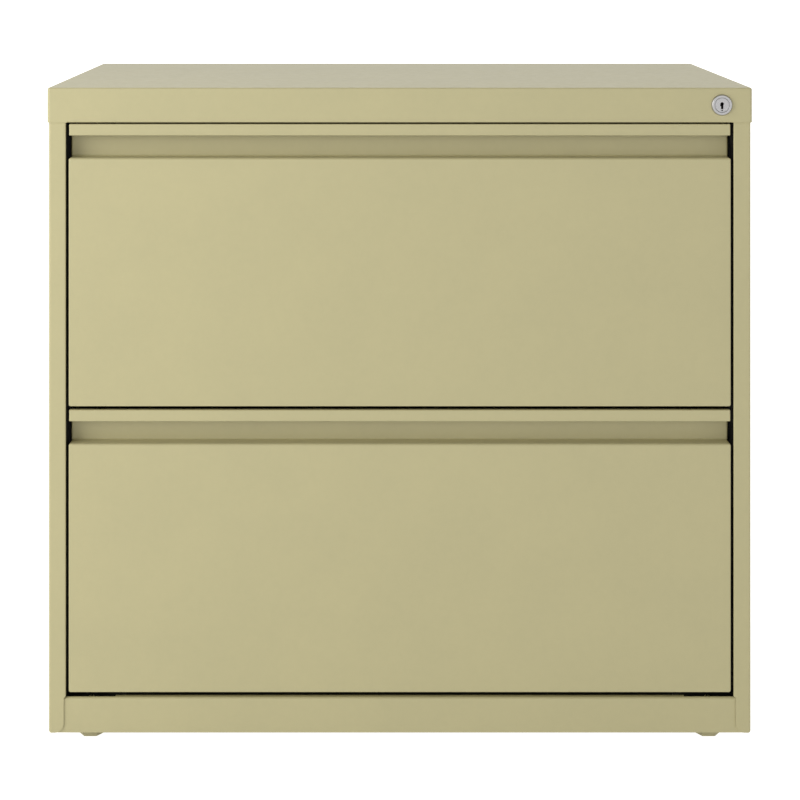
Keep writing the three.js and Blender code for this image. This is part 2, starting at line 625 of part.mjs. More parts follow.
// A hang rail for file folders. Its ends lie over the hems of the drawer sides.
function hangRail(y) {
  const rest = BOX_TOP + THIN / 2 + SEAT;
  const top = rest + THIN / 2;
  const section = foldedStrip([
    [y, top - 22], [y, top], [y + 6, top], [y + 6, top - 5],
  ], THIN, 1);
  const end = BOX_SIDE - 2;
  const inner = BOX_SIDE - BOX_HEM_WIDTH - THIN - SEAT;
  const tips = [-1, 1].map((side) => block(side * inner, side * (end + 1), y - 5, y + 12,
    top - 30, rest));
  return cut(alongX(section, -end, end), ...tips);
}

// ---- Slides ----------------------------------------------------------------------------
// A slide's section is drawn as [distance from the post, height from the slide's centre].
// Three channels nest inside each other, with a row of balls above and below each pair.

function slideSection(side, corners) {
  const placed = corners.map(([out, up, own]) => [side * (SLIDE_FACE - out), up, own]);
  return foldedStrip(placed, SLIDE_GAUGE);
}

const slideMember = (side, corners) =>
  alongY(slideSection(side, corners), SLIDE_FRONT, SLIDE_FRONT + SLIDE_LENGTH);

// The cabinet member, whose lips curl round the outer balls. Its lugs enter the slots of
// the two posts.
function cabinetMember(side) {
  const top = OUTER_HALF - SLIDE_GAUGE / 2;
  const back = SLIDE_GAUGE / 2;
  const channel = slideMember(side, [
    [9.2, top - 4.4], [9.2, top, 2.9], [back, top, 1.2],
    [back, -top, 1.2], [9.2, -top, 2.9], [9.2, 4.4 - top],
  ]);
  const lugs = [POST_FRONT, -POST_FRONT - POST_WIDTH].map((post) => {
    const start = post + SLOT_INSET + 0.5;
    return block(side * (SLIDE_FACE - back), side * (POST_FACE + SHEET + 1.5),
      start, start + SLOT_WIDTH - 1, -LUG_HALF, LUG_HALF);
  });
  return join(channel, ...lugs);
}

// The middle member carries the outer balls on its back and curls round the inner ones.
function middleMember(side) {
  const top = MIDDLE_HALF - SLIDE_GAUGE / 2;
  return slideMember(side, [
    [10.4, top - 4], [10.4, top, 2.6], [3.2, top, 1.2],
    [3.2, -top, 1.2], [10.4, -top, 2.6], [10.4, 4 - top],
  ]);
}

// The drawer member, a channel with its back to the drawer side.
function drawerMember(side) {
  const top = INNER_HALF - SLIDE_GAUGE / 2;
  return slideMember(side, [[5.4, top], [11.8, top, 1.2], [11.8, -top, 1.2], [5.4, -top]]);
}

// ---- Put together ----------------------------------------------------------------------

addPiece('top_cap', topCap(), PAINT);
addPiece('front_top_rail', frontTopRail(), PAINT);
addPiece('back_panel', backPanel(), PAINT);
addPiece('base_front_rail', baseRail(true), PAINT);
addPiece('base_rear_rail', baseRail(false), PAINT);

for (const [name, side] of BOTH_SIDES) {
  addPiece(`side_panel_${name}`, sidePanel(side), PAINT);
  addPiece(`post_front_${name}`, post(side, POST_FRONT, side > 0), BLACK_COAT);
  addPiece(`post_rear_${name}`, post(side, -POST_FRONT - POST_WIDTH, false), BLACK_COAT);
  for (const [row, isFront] of [['front', true], ['rear', false]]) {
    addPiece(`glide_bracket_${row}_${name}`, glideBracket(side, isFront), BLACK_COAT);
    addPiece(`glide_${row}_${name}`, glide(), PAINT, { x: side * GLIDE_X, y: glideY(isFront) });
  }
}

addPiece('lock_housing', lockHousing(), SATIN_NICKEL);
addPiece('lock_plug', lockPlug(), SATIN_NICKEL);
addPiece('lock_nut', lockNut(), ZINC);
addPiece('lock_cam', lockCam(), ZINC);
addPiece('lock_bar', lockBar(), BLACK_COAT);

for (const [row, name] of ['lower', 'upper'].entries()) {
  const z = LOWER_FRONT + row * FRONT_PITCH;
  addPiece(`${name}_drawer_front`, drawerFront(), PAINT, { z });
  addPiece(`${name}_drawer_liner`, drawerLiner(), PAINT, { z });
  addPiece(`${name}_drawer_bottom`, drawerBottom(), PAINT, { z });
  addPiece(`${name}_drawer_back`, drawerBack(), PAINT, { z });
  addPiece(`${name}_hang_rail_front`, hangRail(BOX_FRONT + 12), PAINT, { z });
  addPiece(`${name}_hang_rail_rear`, hangRail(BOX_FRONT + 12 + FOLDER_SPAN), PAINT, { z });
  for (const [sideName, side] of BOTH_SIDES) {
    addPiece(`${name}_drawer_side_${sideName}`, drawerSide(side), PAINT, { z });
    const slide = { z: z + SLIDE_HEIGHT };
    addPiece(`${name}_slide_cabinet_${sideName}`, cabinetMember(side), ZINC, slide);
    addPiece(`${name}_slide_middle_${sideName}`, middleMember(side), ZINC, slide);
    addPiece(`${name}_slide_drawer_${sideName}`, drawerMember(side), ZINC, slide);
  }
}

export default cabinet;
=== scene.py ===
"""Two-drawer lateral filing cabinet in folded, powder-coated sheet steel.

Metres. +X is to the right, the drawers open towards -Y and +Z is up. Each sub-assembly is a
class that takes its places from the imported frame, builds its sheet metal and dresses it.

OVER is how far a cutter stands out past what it cuts, and PITH the radius that the end of a
solid turned piece closes to. Points nearer than SAME_PLACE are one, and faces that turn by
less than FLAT are one face. CATCH_HEIGHT is taken from the bottom of a drawer front.
"""

import logging
import math
from collections.abc import Callable, Sequence
from dataclasses import dataclass, field
from enum import Enum
from typing import Any

import bmesh
import bpy
from mathutils import Matrix, Vector


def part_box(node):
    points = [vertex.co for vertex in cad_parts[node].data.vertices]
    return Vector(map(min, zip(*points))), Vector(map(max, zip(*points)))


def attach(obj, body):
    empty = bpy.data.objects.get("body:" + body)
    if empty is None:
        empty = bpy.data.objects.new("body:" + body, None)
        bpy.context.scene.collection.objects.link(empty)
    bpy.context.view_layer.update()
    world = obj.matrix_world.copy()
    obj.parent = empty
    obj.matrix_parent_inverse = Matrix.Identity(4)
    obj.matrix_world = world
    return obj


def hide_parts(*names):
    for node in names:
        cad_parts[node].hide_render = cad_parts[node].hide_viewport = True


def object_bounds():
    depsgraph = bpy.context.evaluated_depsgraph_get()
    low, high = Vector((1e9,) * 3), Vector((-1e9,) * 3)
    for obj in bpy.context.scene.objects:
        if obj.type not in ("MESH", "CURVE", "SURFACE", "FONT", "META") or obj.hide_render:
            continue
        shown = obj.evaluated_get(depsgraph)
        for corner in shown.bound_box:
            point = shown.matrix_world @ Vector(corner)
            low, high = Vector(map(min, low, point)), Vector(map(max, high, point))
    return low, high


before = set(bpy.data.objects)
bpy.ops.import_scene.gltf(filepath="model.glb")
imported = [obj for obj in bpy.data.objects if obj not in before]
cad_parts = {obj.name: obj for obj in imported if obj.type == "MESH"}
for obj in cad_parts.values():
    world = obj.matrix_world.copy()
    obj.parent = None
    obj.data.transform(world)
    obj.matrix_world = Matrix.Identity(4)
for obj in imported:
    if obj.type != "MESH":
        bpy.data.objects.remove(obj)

CAD_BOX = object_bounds()
LOG = logging.getLogger("filing_cabinet")
MM = 0.001
OVER = 1.0 * MM
PITH = 0.2 * MM
SAME_PLACE = 0.004 * MM
FLAT = math.radians(0.4)
HEXAGON = 6
CATCH_HEIGHT = 240.0 * MM
CATCH_HALF = 3.0 * MM
SIDES = {"left": -1, "right": 1}
ROWS = ("lower", "upper")

Point = tuple[float, float]
Colour = tuple[float, float, float]
Fold = tuple[float, float, float | None]


# ---- Sheet metal ---------------------------------------------------------------------------


class Run(Enum):
    """The axis that a section is run out along, which fixes the plane that it is drawn in."""

    X = "drawn in y and z"
    Y = "drawn in x and z"
    Z = "drawn in x and y"

    def place(self, u: float, v: float, w: float) -> Vector:
        """Turns a place on a section into a point.

        Args:
            u: The section's first measure.
            v: The section's second measure.
            w: How far along the run the point is.

        Returns:
            The point.
        """
        if self is Run.X:
            return Vector((w, u, v))
        if self is Run.Y:
            return Vector((u, w, v))
        return Vector((u, v, w))


class Join(Enum):
    """What carving does with its tools."""

    CUT = "DIFFERENCE"
    WELD = "UNION"


@dataclass(frozen=True)
class Corner:
    """A corner of a strip's middle line, with its own bend radius where it has one."""

    u: float
    v: float
    bend: float | None = None


@dataclass(frozen=True)
class Strip:
    """A folded strip of sheet: a middle line with rounded corners, run out to length.

    Args:
        corners: The middle line's ends and corners.
        sheet: The thickness.
        run: The axis that it runs along.
        span: Where the run starts and ends.
        bend: The bend radius on the middle of the sheet.
        facets: Faces in a quarter turn of a bend.
    """

    corners: Sequence[Corner]
    sheet: float
    run: Run
    span: Point
    bend: float = 1.6 * MM
    facets: int = 8

    def outline(self) -> list[Point]:
        """The closed outline of the section.

        Returns:
            The outline's points: one side of the sheet, then the other side back again.
        """
        points = [Vector((c.u, c.v)) for c in self.corners]
        headings = [(b - a).normalized() for a, b in zip(points, points[1:])]
        left: list[Point] = []
        right: list[Point] = []

        def put(point: Vector, angle: float) -> None:
            """Adds a point on each side of the sheet.

            Args:
                point: The point of the middle line.
                angle: The middle line's heading there.
            """
            out = Vector((-math.sin(angle), math.cos(angle))) * (self.sheet / 2)
            left.append(tuple(point + out))
            right.append(tuple(point - out))

        put(points[0], math.atan2(headings[0].y, headings[0].x))
        for i in range(1, len(points) - 1):
            before, after = headings[i - 1], headings[i]
            turn = math.atan2(before.x * after.y - before.y * after.x, before.dot(after))
            radius = math.copysign(self.corners[i].bend or self.bend, turn)
            start = points[i] - before * (radius * math.tan(turn / 2))
            centre = start + Vector((-before.y, before.x)) * radius
            heading = math.atan2(before.y, before.x)
            steps = max(2, round(abs(turn) / (math.pi / 2) * self.facets))
            for k in range(steps + 1):
                angle = heading + turn * k / steps
                put(centre - Vector((-math.sin(angle), math.cos(angle))) * radius, angle)
        put(points[-1], math.atan2(headings[-1].y, headings[-1].x))
        return left + right[::-1]

    def make(self, name: str) -> bpy.types.Object:
        """The strip as a closed mesh."""
        return prism(name, self.outline(), self.run, self.span)


def as_object(name: str, shape: bmesh.types.BMesh) -> bpy.types.Object:
    """Turns a finished bmesh into an object with its faces outwards.

    Args:
        name: The object's name.
        shape: The bmesh, which is freed.

    Returns:
        The new object.
    """
    bmesh.ops.recalc_face_normals(shape, faces=shape.faces)
    mesh = bpy.data.meshes.new(name)
    shape.to_mesh(mesh)
    shape.free()
    piece = bpy.data.objects.new(name, mesh)
    bpy.context.scene.collection.objects.link(piece)
    return piece


def loft(name: str, rings: Sequence[Sequence[Vector]], endless: bool = False) -> bpy.types.Object:
    """Skins a row of rings that all have the same number of points.

    Args:
        name: The object's name.
        rings: The rings, in order.
        endless: Whether the last ring joins the first, in place of a face on each end.

    Returns:
        The new object.
    """
    shape = bmesh.new()
    rows = [[shape.verts.new(point) for point in ring] for ring in rings]
    pairs = list(zip(rows, rows[1:])) + ([(rows[-1], rows[0])] if endless else [])
    for near, far in pairs:
        for i in range(len(near)):
            j = (i + 1) % len(near)
            shape.faces.new((near[i], near[j], far[j], far[i]))
    if not endless:
        shape.faces.new(rows[0])
        shape.faces.new(rows[-1])
    return as_object(name, shape)


def prism(name: str, outline: Sequence[Point], run: Run, span: Point) -> bpy.types.Object:
    """An outline run out along an axis, closed at both ends."""
    return loft(name, [[run.place(u, v, w) for u, v in outline] for w in span])


def block(name: str, low: Sequence[float], high: Sequence[float]) -> bpy.types.Object:
    """A cutting block between two corners, in any order."""
    (x0, x1), (y0, y1), (z0, z1) = (sorted(pair) for pair in zip(low, high))
    return prism(name, [(x0, y0), (x1, y0), (x1, y1), (x0, y1)], Run.Z, (z0, z1))


def circle(radius: float, sides: int, phase: float = 0.0) -> list[Point]:
    """Points round a circle about the origin."""
    turns = (phase + 2 * math.pi * k / sides for k in range(sides))
    return [(radius * math.cos(a), radius * math.sin(a)) for a in turns]


def turned(name: str, profile: Sequence[Point], centre: Vector, run: Run, sides: int = 64,
           phase: float = 0.0, endless: bool = True) -> bpy.types.Object:
    """A piece turned about an axis.

    Args:
        name: The object's name.
        profile: Radius and place along the run, for each ring in order.
        centre: A point of the axis.
        run: The axis.
        sides: Points in each ring.
        phase: Turn of the first point, which matters for a hexagon.
        endless: Whether the profile is a loop, as on a ring with a bore.

    Returns:
        The new object.
    """
    origin = {Run.X: (centre.y, centre.z), Run.Y: (centre.x, centre.z),
              Run.Z: (centre.x, centre.y)}
    u0, v0 = origin[run]
    rings = [[run.place(u0 + u, v0 + v, w) for u, v in circle(r, sides, phase)]
             for r, w in profile]
    return loft(name, rings, endless)


def rounded_rectangle(low: Point, high: Point, radius: float, steps: int = 6) -> list[Point]:
    """The outline of a rectangle with round corners.

    Args:
        low: The lowest corner.
        high: The highest corner.
        radius: Radius of the corners.
        steps: Faces in a quarter turn.

    Returns:
        The outline's points.
    """
    (u0, v0), (u1, v1) = low, high
    centres = [(u1 - radius, v0 + radius, -0.5), (u1 - radius, v1 - radius, 0.0),
               (u0 + radius, v1 - radius, 0.5), (u0 + radius, v0 + radius, 1.0)]
    points = []
    for u, v, start in centres:
        for k in range(steps + 1):
            angle = math.pi * (start + 0.5 * k / steps)
            points.append((u + radius * math.cos(angle), v + radius * math.sin(angle)))
    return points


@dataclass(frozen=True)
class Tray:
    """A tray of sheet with a flat face, rounded edges and welded, ground corners.

    Args:
        low: The face's lowest corner.
        high: The face's highest corner.
        depth: How deep the walls are.
        corner: Radius of the corners, seen on the face.
        edge: Radius of the bend between face and wall, outside.
        sheet: The thickness.
        border: Width of a band of extra rings round the face, for a shape laid on it.
        steps: Faces in a quarter turn.
        tightest: The least radius on the inside of the bend.
    """

    low: Point
    high: Point
    depth: float
    corner: float
    edge: float
    sheet: float
    border: float = 0.0
    steps: int = 6
    tightest: float = 0.3 * MM

    def ring(self, inset: float) -> list[Point]:
        """The face's outline, drawn in.

        Args:
            inset: How far it is drawn in.

        Returns:
            The outline's points.
        """
        low = (self.low[0] + inset, self.low[1] + inset)
        high = (self.high[0] - inset, self.high[1] - inset)
        return rounded_rectangle(low, high, max(self.corner - inset, PITH), self.steps)

    def bend(self, inset: float, radius: float) -> list[Point]:
        """The rings of the bend, from the face to the wall.

        Args:
            inset: The wall's inset.
            radius: The bend's radius.

        Returns:
            Inset and depth of each ring.
        """
        quarter = [math.pi / 2 * k / self.steps for k in range(self.steps + 1)]
        return [(inset + radius * (1 - math.sin(a)), inset + radius * (1 - math.cos(a)))
                for a in quarter]

    def make(self, name: str, place: Callable[[float, float, float], Vector]) -> bpy.types.Object:
        """The tray as a closed mesh.

        Args:
            name: The object's name.
            place: Gives the point for two places on the face and a depth behind it.

        Returns:
            The new object.
        """
        inner = max(self.edge - self.sheet, self.tightest)
        band = [self.border * k / self.steps for k in range(self.steps, 0, -1)]
        levels = [(inset, self.sheet) for inset in band if inset > self.sheet + inner]
        levels += self.bend(self.sheet, inner)
        levels += [(self.sheet, self.depth), (0.0, self.depth)]
        levels += self.bend(0.0, self.edge)[::-1]
        levels += [(inset, 0.0) for inset in band[::-1] if inset > self.edge]
        return loft(name, [[place(u, v, depth) for u, v in self.ring(inset)]
                           for inset, depth in levels])


def bake(piece: bpy.types.Object) -> bpy.types.Object:
    """Applies a piece's modifiers to its mesh.

    Args:
        piece: The piece.

    Returns:
        The same piece.
    """
    graph = bpy.context.evaluated_depsgraph_get()
    mesh = bpy.data.meshes.new_from_object(
        piece.evaluated_get(graph), preserve_all_data_layers=True, depsgraph=graph)
    plain = piece.data
    piece.modifiers.clear()
    piece.data = mesh
    mesh.name = piece.name
    bpy.data.meshes.remove(plain)
    return piece


def carve(piece: bpy.types.Object, how: Join, *tools: bpy.types.Object) -> bpy.types.Object:
    """Cuts tools out of a piece, or welds them to it, and removes the tools.

    Args:
        piece: The piece.
        how: Whether the tools are cut out or welded on.
        tools: The tools, which are used up.

    Returns:
        The same piece.
    """
    for tool in tools:
        step = piece.modifiers.new("carve", "BOOLEAN")
        step.operation = how.value
        step.solver = "EXACT"
        step.object = tool
    bake(piece)
    for tool in tools:
        mesh = tool.data
        bpy.data.objects.remove(tool)
        bpy.data.meshes.remove(mesh)
    return piece


def soften(piece: bpy.types.Object, edge: float = 0.18 * MM,
           sharp: float = 35.0) -> bpy.types.Object:
    """Rounds a piece's sheared edges and shades its bends smoothly.

    Args:
        piece: The piece.
        edge: How far an edge is rounded.
        sharp: Edges that turn by more than this many degrees are rounded.

    Returns:
        The same piece.
    """
    shape = bmesh.new()
    shape.from_mesh(piece.data)
    bmesh.ops.remove_doubles(shape, verts=shape.verts, dist=SAME_PLACE)
    bmesh.ops.dissolve_limit(shape, angle_limit=FLAT, verts=shape.verts,
                             edges=shape.edges)
    shape.to_mesh(piece.data)
    shape.free()
    bevel = piece.modifiers.new("edges", "BEVEL")
    bevel.width = edge
    bevel.segments = 2
    bevel.limit_method = "ANGLE"
    bevel.angle_limit = math.radians(sharp)
    piece.data.shade_smooth()
    shading = piece.modifiers.new("shading", "WEIGHTED_NORMAL")
    shading.keep_sharp = True
    shading.weight = 90
    return bake(piece)


# ---- Finishes ------------------------------------------------------------------------------


def linear(red: int, green: int, blue: int) -> Colour:
    """Turns a display colour into scene-linear values.

    Args:
        red: Red, 0 to 255.
        green: Green, 0 to 255.
        blue: Blue, 0 to 255.

    Returns:
        The colour.
    """

    def channel(value: int) -> float:
        """One channel's linear value."""
        share = value / 255
        return share / 12.92 if share <= 0.04045 else ((share + 0.055) / 1.055) ** 2.4

    return channel(red), channel(green), channel(blue)


class Sheetwork:
    """Adds nodes to one shader tree and links them."""

    def __init__(self, tree: bpy.types.NodeTree) -> None:
        """Takes the tree that nodes go into."""
        self.tree = tree

    def add(self, kind: str, inputs: dict[Any, Any] | None = None,
            **settings: Any) -> bpy.types.Node:
        """Adds a node.

        Args:
            kind: The node's type.
            inputs: Values or sockets for its inputs, by name or number.
            settings: Properties of the node.

        Returns:
            The new node.
        """
        node = self.tree.nodes.new(kind)
        for key, value in settings.items():
            setattr(node, key, value)
        for key, value in (inputs or {}).items():
            if isinstance(value, bpy.types.NodeSocket):
                self.tree.links.new(value, node.inputs[key])
            else:
                node.inputs[key].default_value = value
        return node

    def maths(self, operation: str, *values: Any) -> bpy.types.NodeSocket:
        """A Math node's result."""
        node = self.add("ShaderNodeMath", dict(enumerate(values)), operation=operation)
        return node.outputs[0]

    def spread(self, value: bpy.types.NodeSocket, low: float, high: float,
               to_low: float = 0.0, to_high: float = 1.0) -> bpy.types.NodeSocket:
        """A value stretched from one range to another and held inside it."""
        node = self.add("ShaderNodeMapRange", {0: value, 1: low, 2: high, 3: to_low, 4: to_high})
        return node.outputs[0]

    def ramp(self, value: bpy.types.NodeSocket, stops: Sequence[Point]) -> bpy.types.NodeSocket:
        """A value read off a line through stops.

        Args:
            value: The value.
            stops: Places on the line, each with the result there.

        Returns:
            The result's socket.
        """
        node = self.add("ShaderNodeValToRGB", {0: value})
        elements = node.color_ramp.elements
        elements.remove(elements[1])
        for k, (place, level) in enumerate(stops):
            element = elements[0] if k == 0 else elements.new(place)
            element.position = place
            element.color = (level, level, level, 1.0)
        return node.outputs[0]

    def blend(self, share: Any, first: Any, second: Any) -> bpy.types.NodeSocket:
        """Two colours mixed by a share."""
        node = self.add("ShaderNodeMix", {0: share, 6: first, 7: second}, data_type="RGBA")
        return node.outputs[2]

    def noise(self, position: Any, scale: Any, detail: float = 2.0,
              roughness: float = 0.5) -> bpy.types.NodeSocket:
        """Soft noise from 0 to 1.

        Args:
            position: Where it is read.
            scale: How fine it is.
            detail: How many finer layers it has.
            roughness: How strong the finer layers are.

        Returns:
            The noise's socket.
        """
        node = self.add("ShaderNodeTexNoise", {
            "Vector": position, "Scale": scale, "Detail": detail, "Roughness": roughness})
        return node.outputs[0]


class Effect(Enum):
    """The effects that more than one finish uses, each a node group built once."""

    POWDER = "Powder coat surface"
    DRAWN = "Drawn metal lines"
    TURNED = "Turned metal rings"

    def group(self) -> bpy.types.NodeTree:
        """The effect's node group, built the first time it is asked for.

        Returns:
            The group.
        """
        known = bpy.data.node_groups.get(self.value)
        if known:
            return known
        tree = bpy.data.node_groups.new(self.value, "ShaderNodeTree")
        builders = {Effect.POWDER: _powder, Effect.DRAWN: _drawn, Effect.TURNED: _turned}
        builders[self](tree)
        return tree


def _ports(tree: bpy.types.NodeTree, takes: dict[str, Any], gives: Sequence[str]
           ) -> tuple[Sheetwork, bpy.types.Node, bpy.types.Node]:
    """Makes a group's sockets.

    Args:
        tree: The group.
        takes: Each input's name and its usual value; a tuple makes a vector.
        gives: The outputs' names. All are numbers.

    Returns:
        The builder for the group, its input node and its output node.
    """
    for name, usual in takes.items():
        kind = "NodeSocketVector" if isinstance(usual, tuple) else "NodeSocketFloat"
        tree.interface.new_socket(name, in_out="INPUT", socket_type=kind).default_value = usual
    for name in gives:
        tree.interface.new_socket(name, in_out="OUTPUT", socket_type="NodeSocketFloat")
    work = Sheetwork(tree)
    return work, work.add("NodeGroupInput"), work.add("NodeGroupOutput")


def _powder(tree: bpy.types.NodeTree) -> None:
    """Orange peel, a finer grain on it, and slow changes of tone.

    Args:
        tree: The group that it is built in.
    """
    takes = {"Position": (0.0, 0.0, 0.0), "Peel": 420.0, "Patch": 14.0}
    work, taken, given = _ports(tree, takes, ("Height", "Patches", "Grain"))
    position = taken.outputs["Position"]
    finer, weaker, smaller = 3.1, 0.25, 9.0
    peel = work.noise(position, taken.outputs["Peel"], detail=1.0)
    grain = work.noise(position, work.maths("MULTIPLY", taken.outputs["Peel"], finer),
                       detail=2.0, roughness=0.6)
    height = work.maths("ADD", peel, work.maths("MULTIPLY", grain, weaker))
    broad = work.noise(position, taken.outputs["Patch"], detail=3.0, roughness=0.55)
    speck = work.noise(position, work.maths("MULTIPLY", taken.outputs["Patch"], smaller),
                       detail=3.0, roughness=0.65)
    tree.links.new(height, given.inputs["Height"])
    tree.links.new(work.spread(broad, 0.36, 0.64), given.inputs["Patches"])
    tree.links.new(work.spread(speck, 0.34, 0.66), given.inputs["Grain"])


def _drawn(tree: bpy.types.NodeTree) -> None:
    """Fine lines along one axis, left by rolling or brushing, and dull stains.

    Args:
        tree: The group that it is built in.
    """
    takes = {"Position": (0.0, 0.0, 0.0), "Stretch": (1.0, 0.02, 1.0), "Fineness": 2600.0}
    work, taken, given = _ports(tree, takes, ("Lines", "Stains"))
    drawn = work.add("ShaderNodeVectorMath", {0: taken.outputs["Position"],
                                              1: taken.outputs["Stretch"]}, operation="MULTIPLY")
    lines = work.noise(drawn.outputs[0], taken.outputs["Fineness"], detail=2.0, roughness=0.6)
    stains = work.noise(taken.outputs["Position"], scale=38.0, detail=4.0, roughness=0.6)
    tree.links.new(work.spread(lines, 0.3, 0.7), given.inputs["Lines"])
    tree.links.new(work.spread(stains, 0.38, 0.68), given.inputs["Stains"])


def _turned(tree: bpy.types.NodeTree) -> None:
    """Rings about an axis along Y, left by the turning tool.

    Args:
        tree: The group that it is built in.
    """
    takes = {"Position": (0.0, 0.0, 0.0), "Axis": (0.0, 0.0, 0.0), "Fineness": 5200.0}
    work, taken, given = _ports(tree, takes, ("Rings",))
    away = work.add("ShaderNodeVectorMath", {0: taken.outputs["Position"],
                                             1: taken.outputs["Axis"]}, operation="SUBTRACT")
    flat = work.add("ShaderNodeVectorMath", {0: away.outputs[0], 1: (1.0, 0.0, 1.0)},
                    operation="MULTIPLY")
    radius = work.add("ShaderNodeVectorMath", {0: flat.outputs[0]}, operation="LENGTH")
    rings = work.add("ShaderNodeTexNoise", {
        "W": work.maths("MULTIPLY", radius.outputs[1], taken.outputs["Fineness"]),
        "Scale": 1.0, "Detail": 2.0}, noise_dimensions="1D")
    tree.links.new(work.spread(rings.outputs[0], 0.3, 0.7), given.inputs["Rings"])


class Finish:
    """A finish that pieces are dressed in. Its material is made once."""

    name: str
    slot: str

    def material(self) -> bpy.types.Material:
        """The finish's material, built the first time it is asked for.

        Returns:
            The material.
        """
        known = bpy.data.materials.get(self.name)
        if known:
            return known
        material = bpy.data.materials.new(self.name)
        material.use_nodes = True
        material.node_tree.nodes.clear()
        work = Sheetwork(material.node_tree)
        shader = work.add("ShaderNodeBsdfPrincipled")
        out = work.add("ShaderNodeOutputMaterial")
        work.tree.links.new(shader.outputs[0], out.inputs[0])
        position = work.add("ShaderNodeTexCoord").outputs["Object"]
        self.shade(work, shader, position)
        return material

    def shade(self, work: Sheetwork, shader: bpy.types.Node,
              position: bpy.types.NodeSocket) -> None:
        """Adds the finish's own nodes."""
        raise NotImplementedError

    @staticmethod
    def effect(work: Sheetwork, effect: Effect, **inputs: Any) -> bpy.types.Node:
        """Places an effect's group in a material with its own values.

        Args:
            work: The material's builder.
            effect: The effect.
            inputs: Values or sockets for the group's inputs, by name.

        Returns:
            The group's node.
        """
        node = work.add("ShaderNodeGroup", node_tree=effect.group())
        for key, value in inputs.items():
            if isinstance(value, bpy.types.NodeSocket):
                work.tree.links.new(value, node.inputs[key])
            else:
                node.inputs[key].default_value = value
        return node

    @staticmethod
    def bump(work: Sheetwork, shader: bpy.types.Node, height: bpy.types.NodeSocket,
             strength: float, distance: float) -> None:
        """Feeds a height to the shader's Normal through a Bump node.

        Args:
            work: The material's builder.
            shader: The material's shader.
            height: The height, 0 to 1.
            strength: The share of the bump that is used.
            distance: How high the bump is.
        """
        node = work.add("ShaderNodeBump", {"Strength": strength, "Distance": distance,
                                           "Height": height})
        work.tree.links.new(node.outputs[0], shader.inputs["Normal"])


@dataclass(frozen=True)
class PowderCoat(Finish):
    """Stoved powder paint: a fine orange peel and a tone that drifts slightly."""

    name: str
    colour: Colour
    drift: Colour
    slot: str = "paint"
    roughness: float = 0.42
    spread: Point = (0.03, 0.04)
    peel: float = 420.0
    patch: float = 14.0
    shares: Point = (0.55, 0.45)
    index: float = 1.5
    relief: Point = (0.12, 0.05 * MM)

    def shade(self, work: Sheetwork, shader: bpy.types.Node,
              position: bpy.types.NodeSocket) -> None:
        """Colour, gloss and peel of the paint.

        Args:
            work: The material's builder.
            shader: The material's shader.
            position: Where on the object a point is, in metres.
        """
        surface = self.effect(work, Effect.POWDER, Position=position, Peel=self.peel,
                              Patch=self.patch)
        broad, fine = self.shares
        share = work.maths("ADD", work.maths("MULTIPLY", surface.outputs["Patches"], broad),
                           work.maths("MULTIPLY", surface.outputs["Grain"], fine))
        colour = work.blend(share, (*self.colour, 1.0), (*self.drift, 1.0))
        rough = work.spread(surface.outputs["Grain"], 0.0, 1.0, self.roughness - self.spread[0],
                            self.roughness + self.spread[1])
        work.tree.links.new(colour, shader.inputs["Base Color"])
        work.tree.links.new(rough, shader.inputs["Roughness"])
        shader.inputs["IOR"].default_value = self.index
        self.bump(work, shader, surface.outputs["Height"], *self.relief)


@dataclass(frozen=True)
class PlatedSteel(Finish):
    """Cold-rolled steel with bright zinc plate: drawn lines along the run and dull stains."""

    name: str
    colour: Colour = linear(196, 198, 200)
    stain: Colour = linear(150, 151, 150)
    slot: str = "zinc_plate"
    roughness: float = 0.3
    spread: Point = (0.05, 0.12)
    stretch: tuple[float, float, float] = (1.0, 0.02, 1.0)
    fineness: float = 2600.0
    stained: float = 0.6
    lined: float = 0.12
    relief: Point = (0.15, 0.02 * MM)

    def shade(self, work: Sheetwork, shader: bpy.types.Node,
              position: bpy.types.NodeSocket) -> None:
        """Colour, gloss and lines of the plate.

        Args:
            work: The material's builder.
            shader: The material's shader.
            position: Where on the object a point is, in metres.
        """
        drawn = self.effect(work, Effect.DRAWN, Position=position, Stretch=self.stretch,
                            Fineness=self.fineness)
        colour = work.blend(work.maths("MULTIPLY", drawn.outputs["Stains"], self.stained),
                            (*self.colour, 1.0), (*self.stain, 1.0))
        rough = work.maths("ADD", work.maths("MULTIPLY", drawn.outputs["Lines"], self.lined),
                           work.spread(drawn.outputs["Stains"], 0.0, 1.0,
                                       self.roughness - self.spread[0],
                                       self.roughness + self.spread[1]))
        work.tree.links.new(colour, shader.inputs["Base Color"])
        work.tree.links.new(rough, shader.inputs["Roughness"])
        shader.inputs["Metallic"].default_value = 1.0
        self.bump(work, shader, drawn.outputs["Lines"], *self.relief)


@dataclass(frozen=True)
class Primer(Finish):
    """Matt dark primer on steel that is hidden inside, worn a little paler in places."""

    name: str
    colour: Colour = (0.010, 0.009, 0.007)
    worn: Colour = (0.018, 0.017, 0.014)
    slot: str = "black_coat"
    roughness: Point = (0.55, 0.7)
    peel: float = 260.0
    patch: float = 20.0
    relief: Point = (0.1, 0.05 * MM)

    def shade(self, work: Sheetwork, shader: bpy.types.Node,
              position: bpy.types.NodeSocket) -> None:
        """Tone and gloss of the primer.

        Args:
            work: The material's builder.
            shader: The material's shader.
            position: Where on the object a point is, in metres.
        """
        surface = self.effect(work, Effect.POWDER, Position=position, Peel=self.peel,
                              Patch=self.patch)
        colour = work.blend(surface.outputs["Grain"], (*self.colour, 1.0), (*self.worn, 1.0))
        work.tree.links.new(colour, shader.inputs["Base Color"])
        work.tree.links.new(work.spread(surface.outputs["Patches"], 0.0, 1.0, *self.roughness),
                            shader.inputs["Roughness"])
        self.bump(work, shader, surface.outputs["Height"], *self.relief)


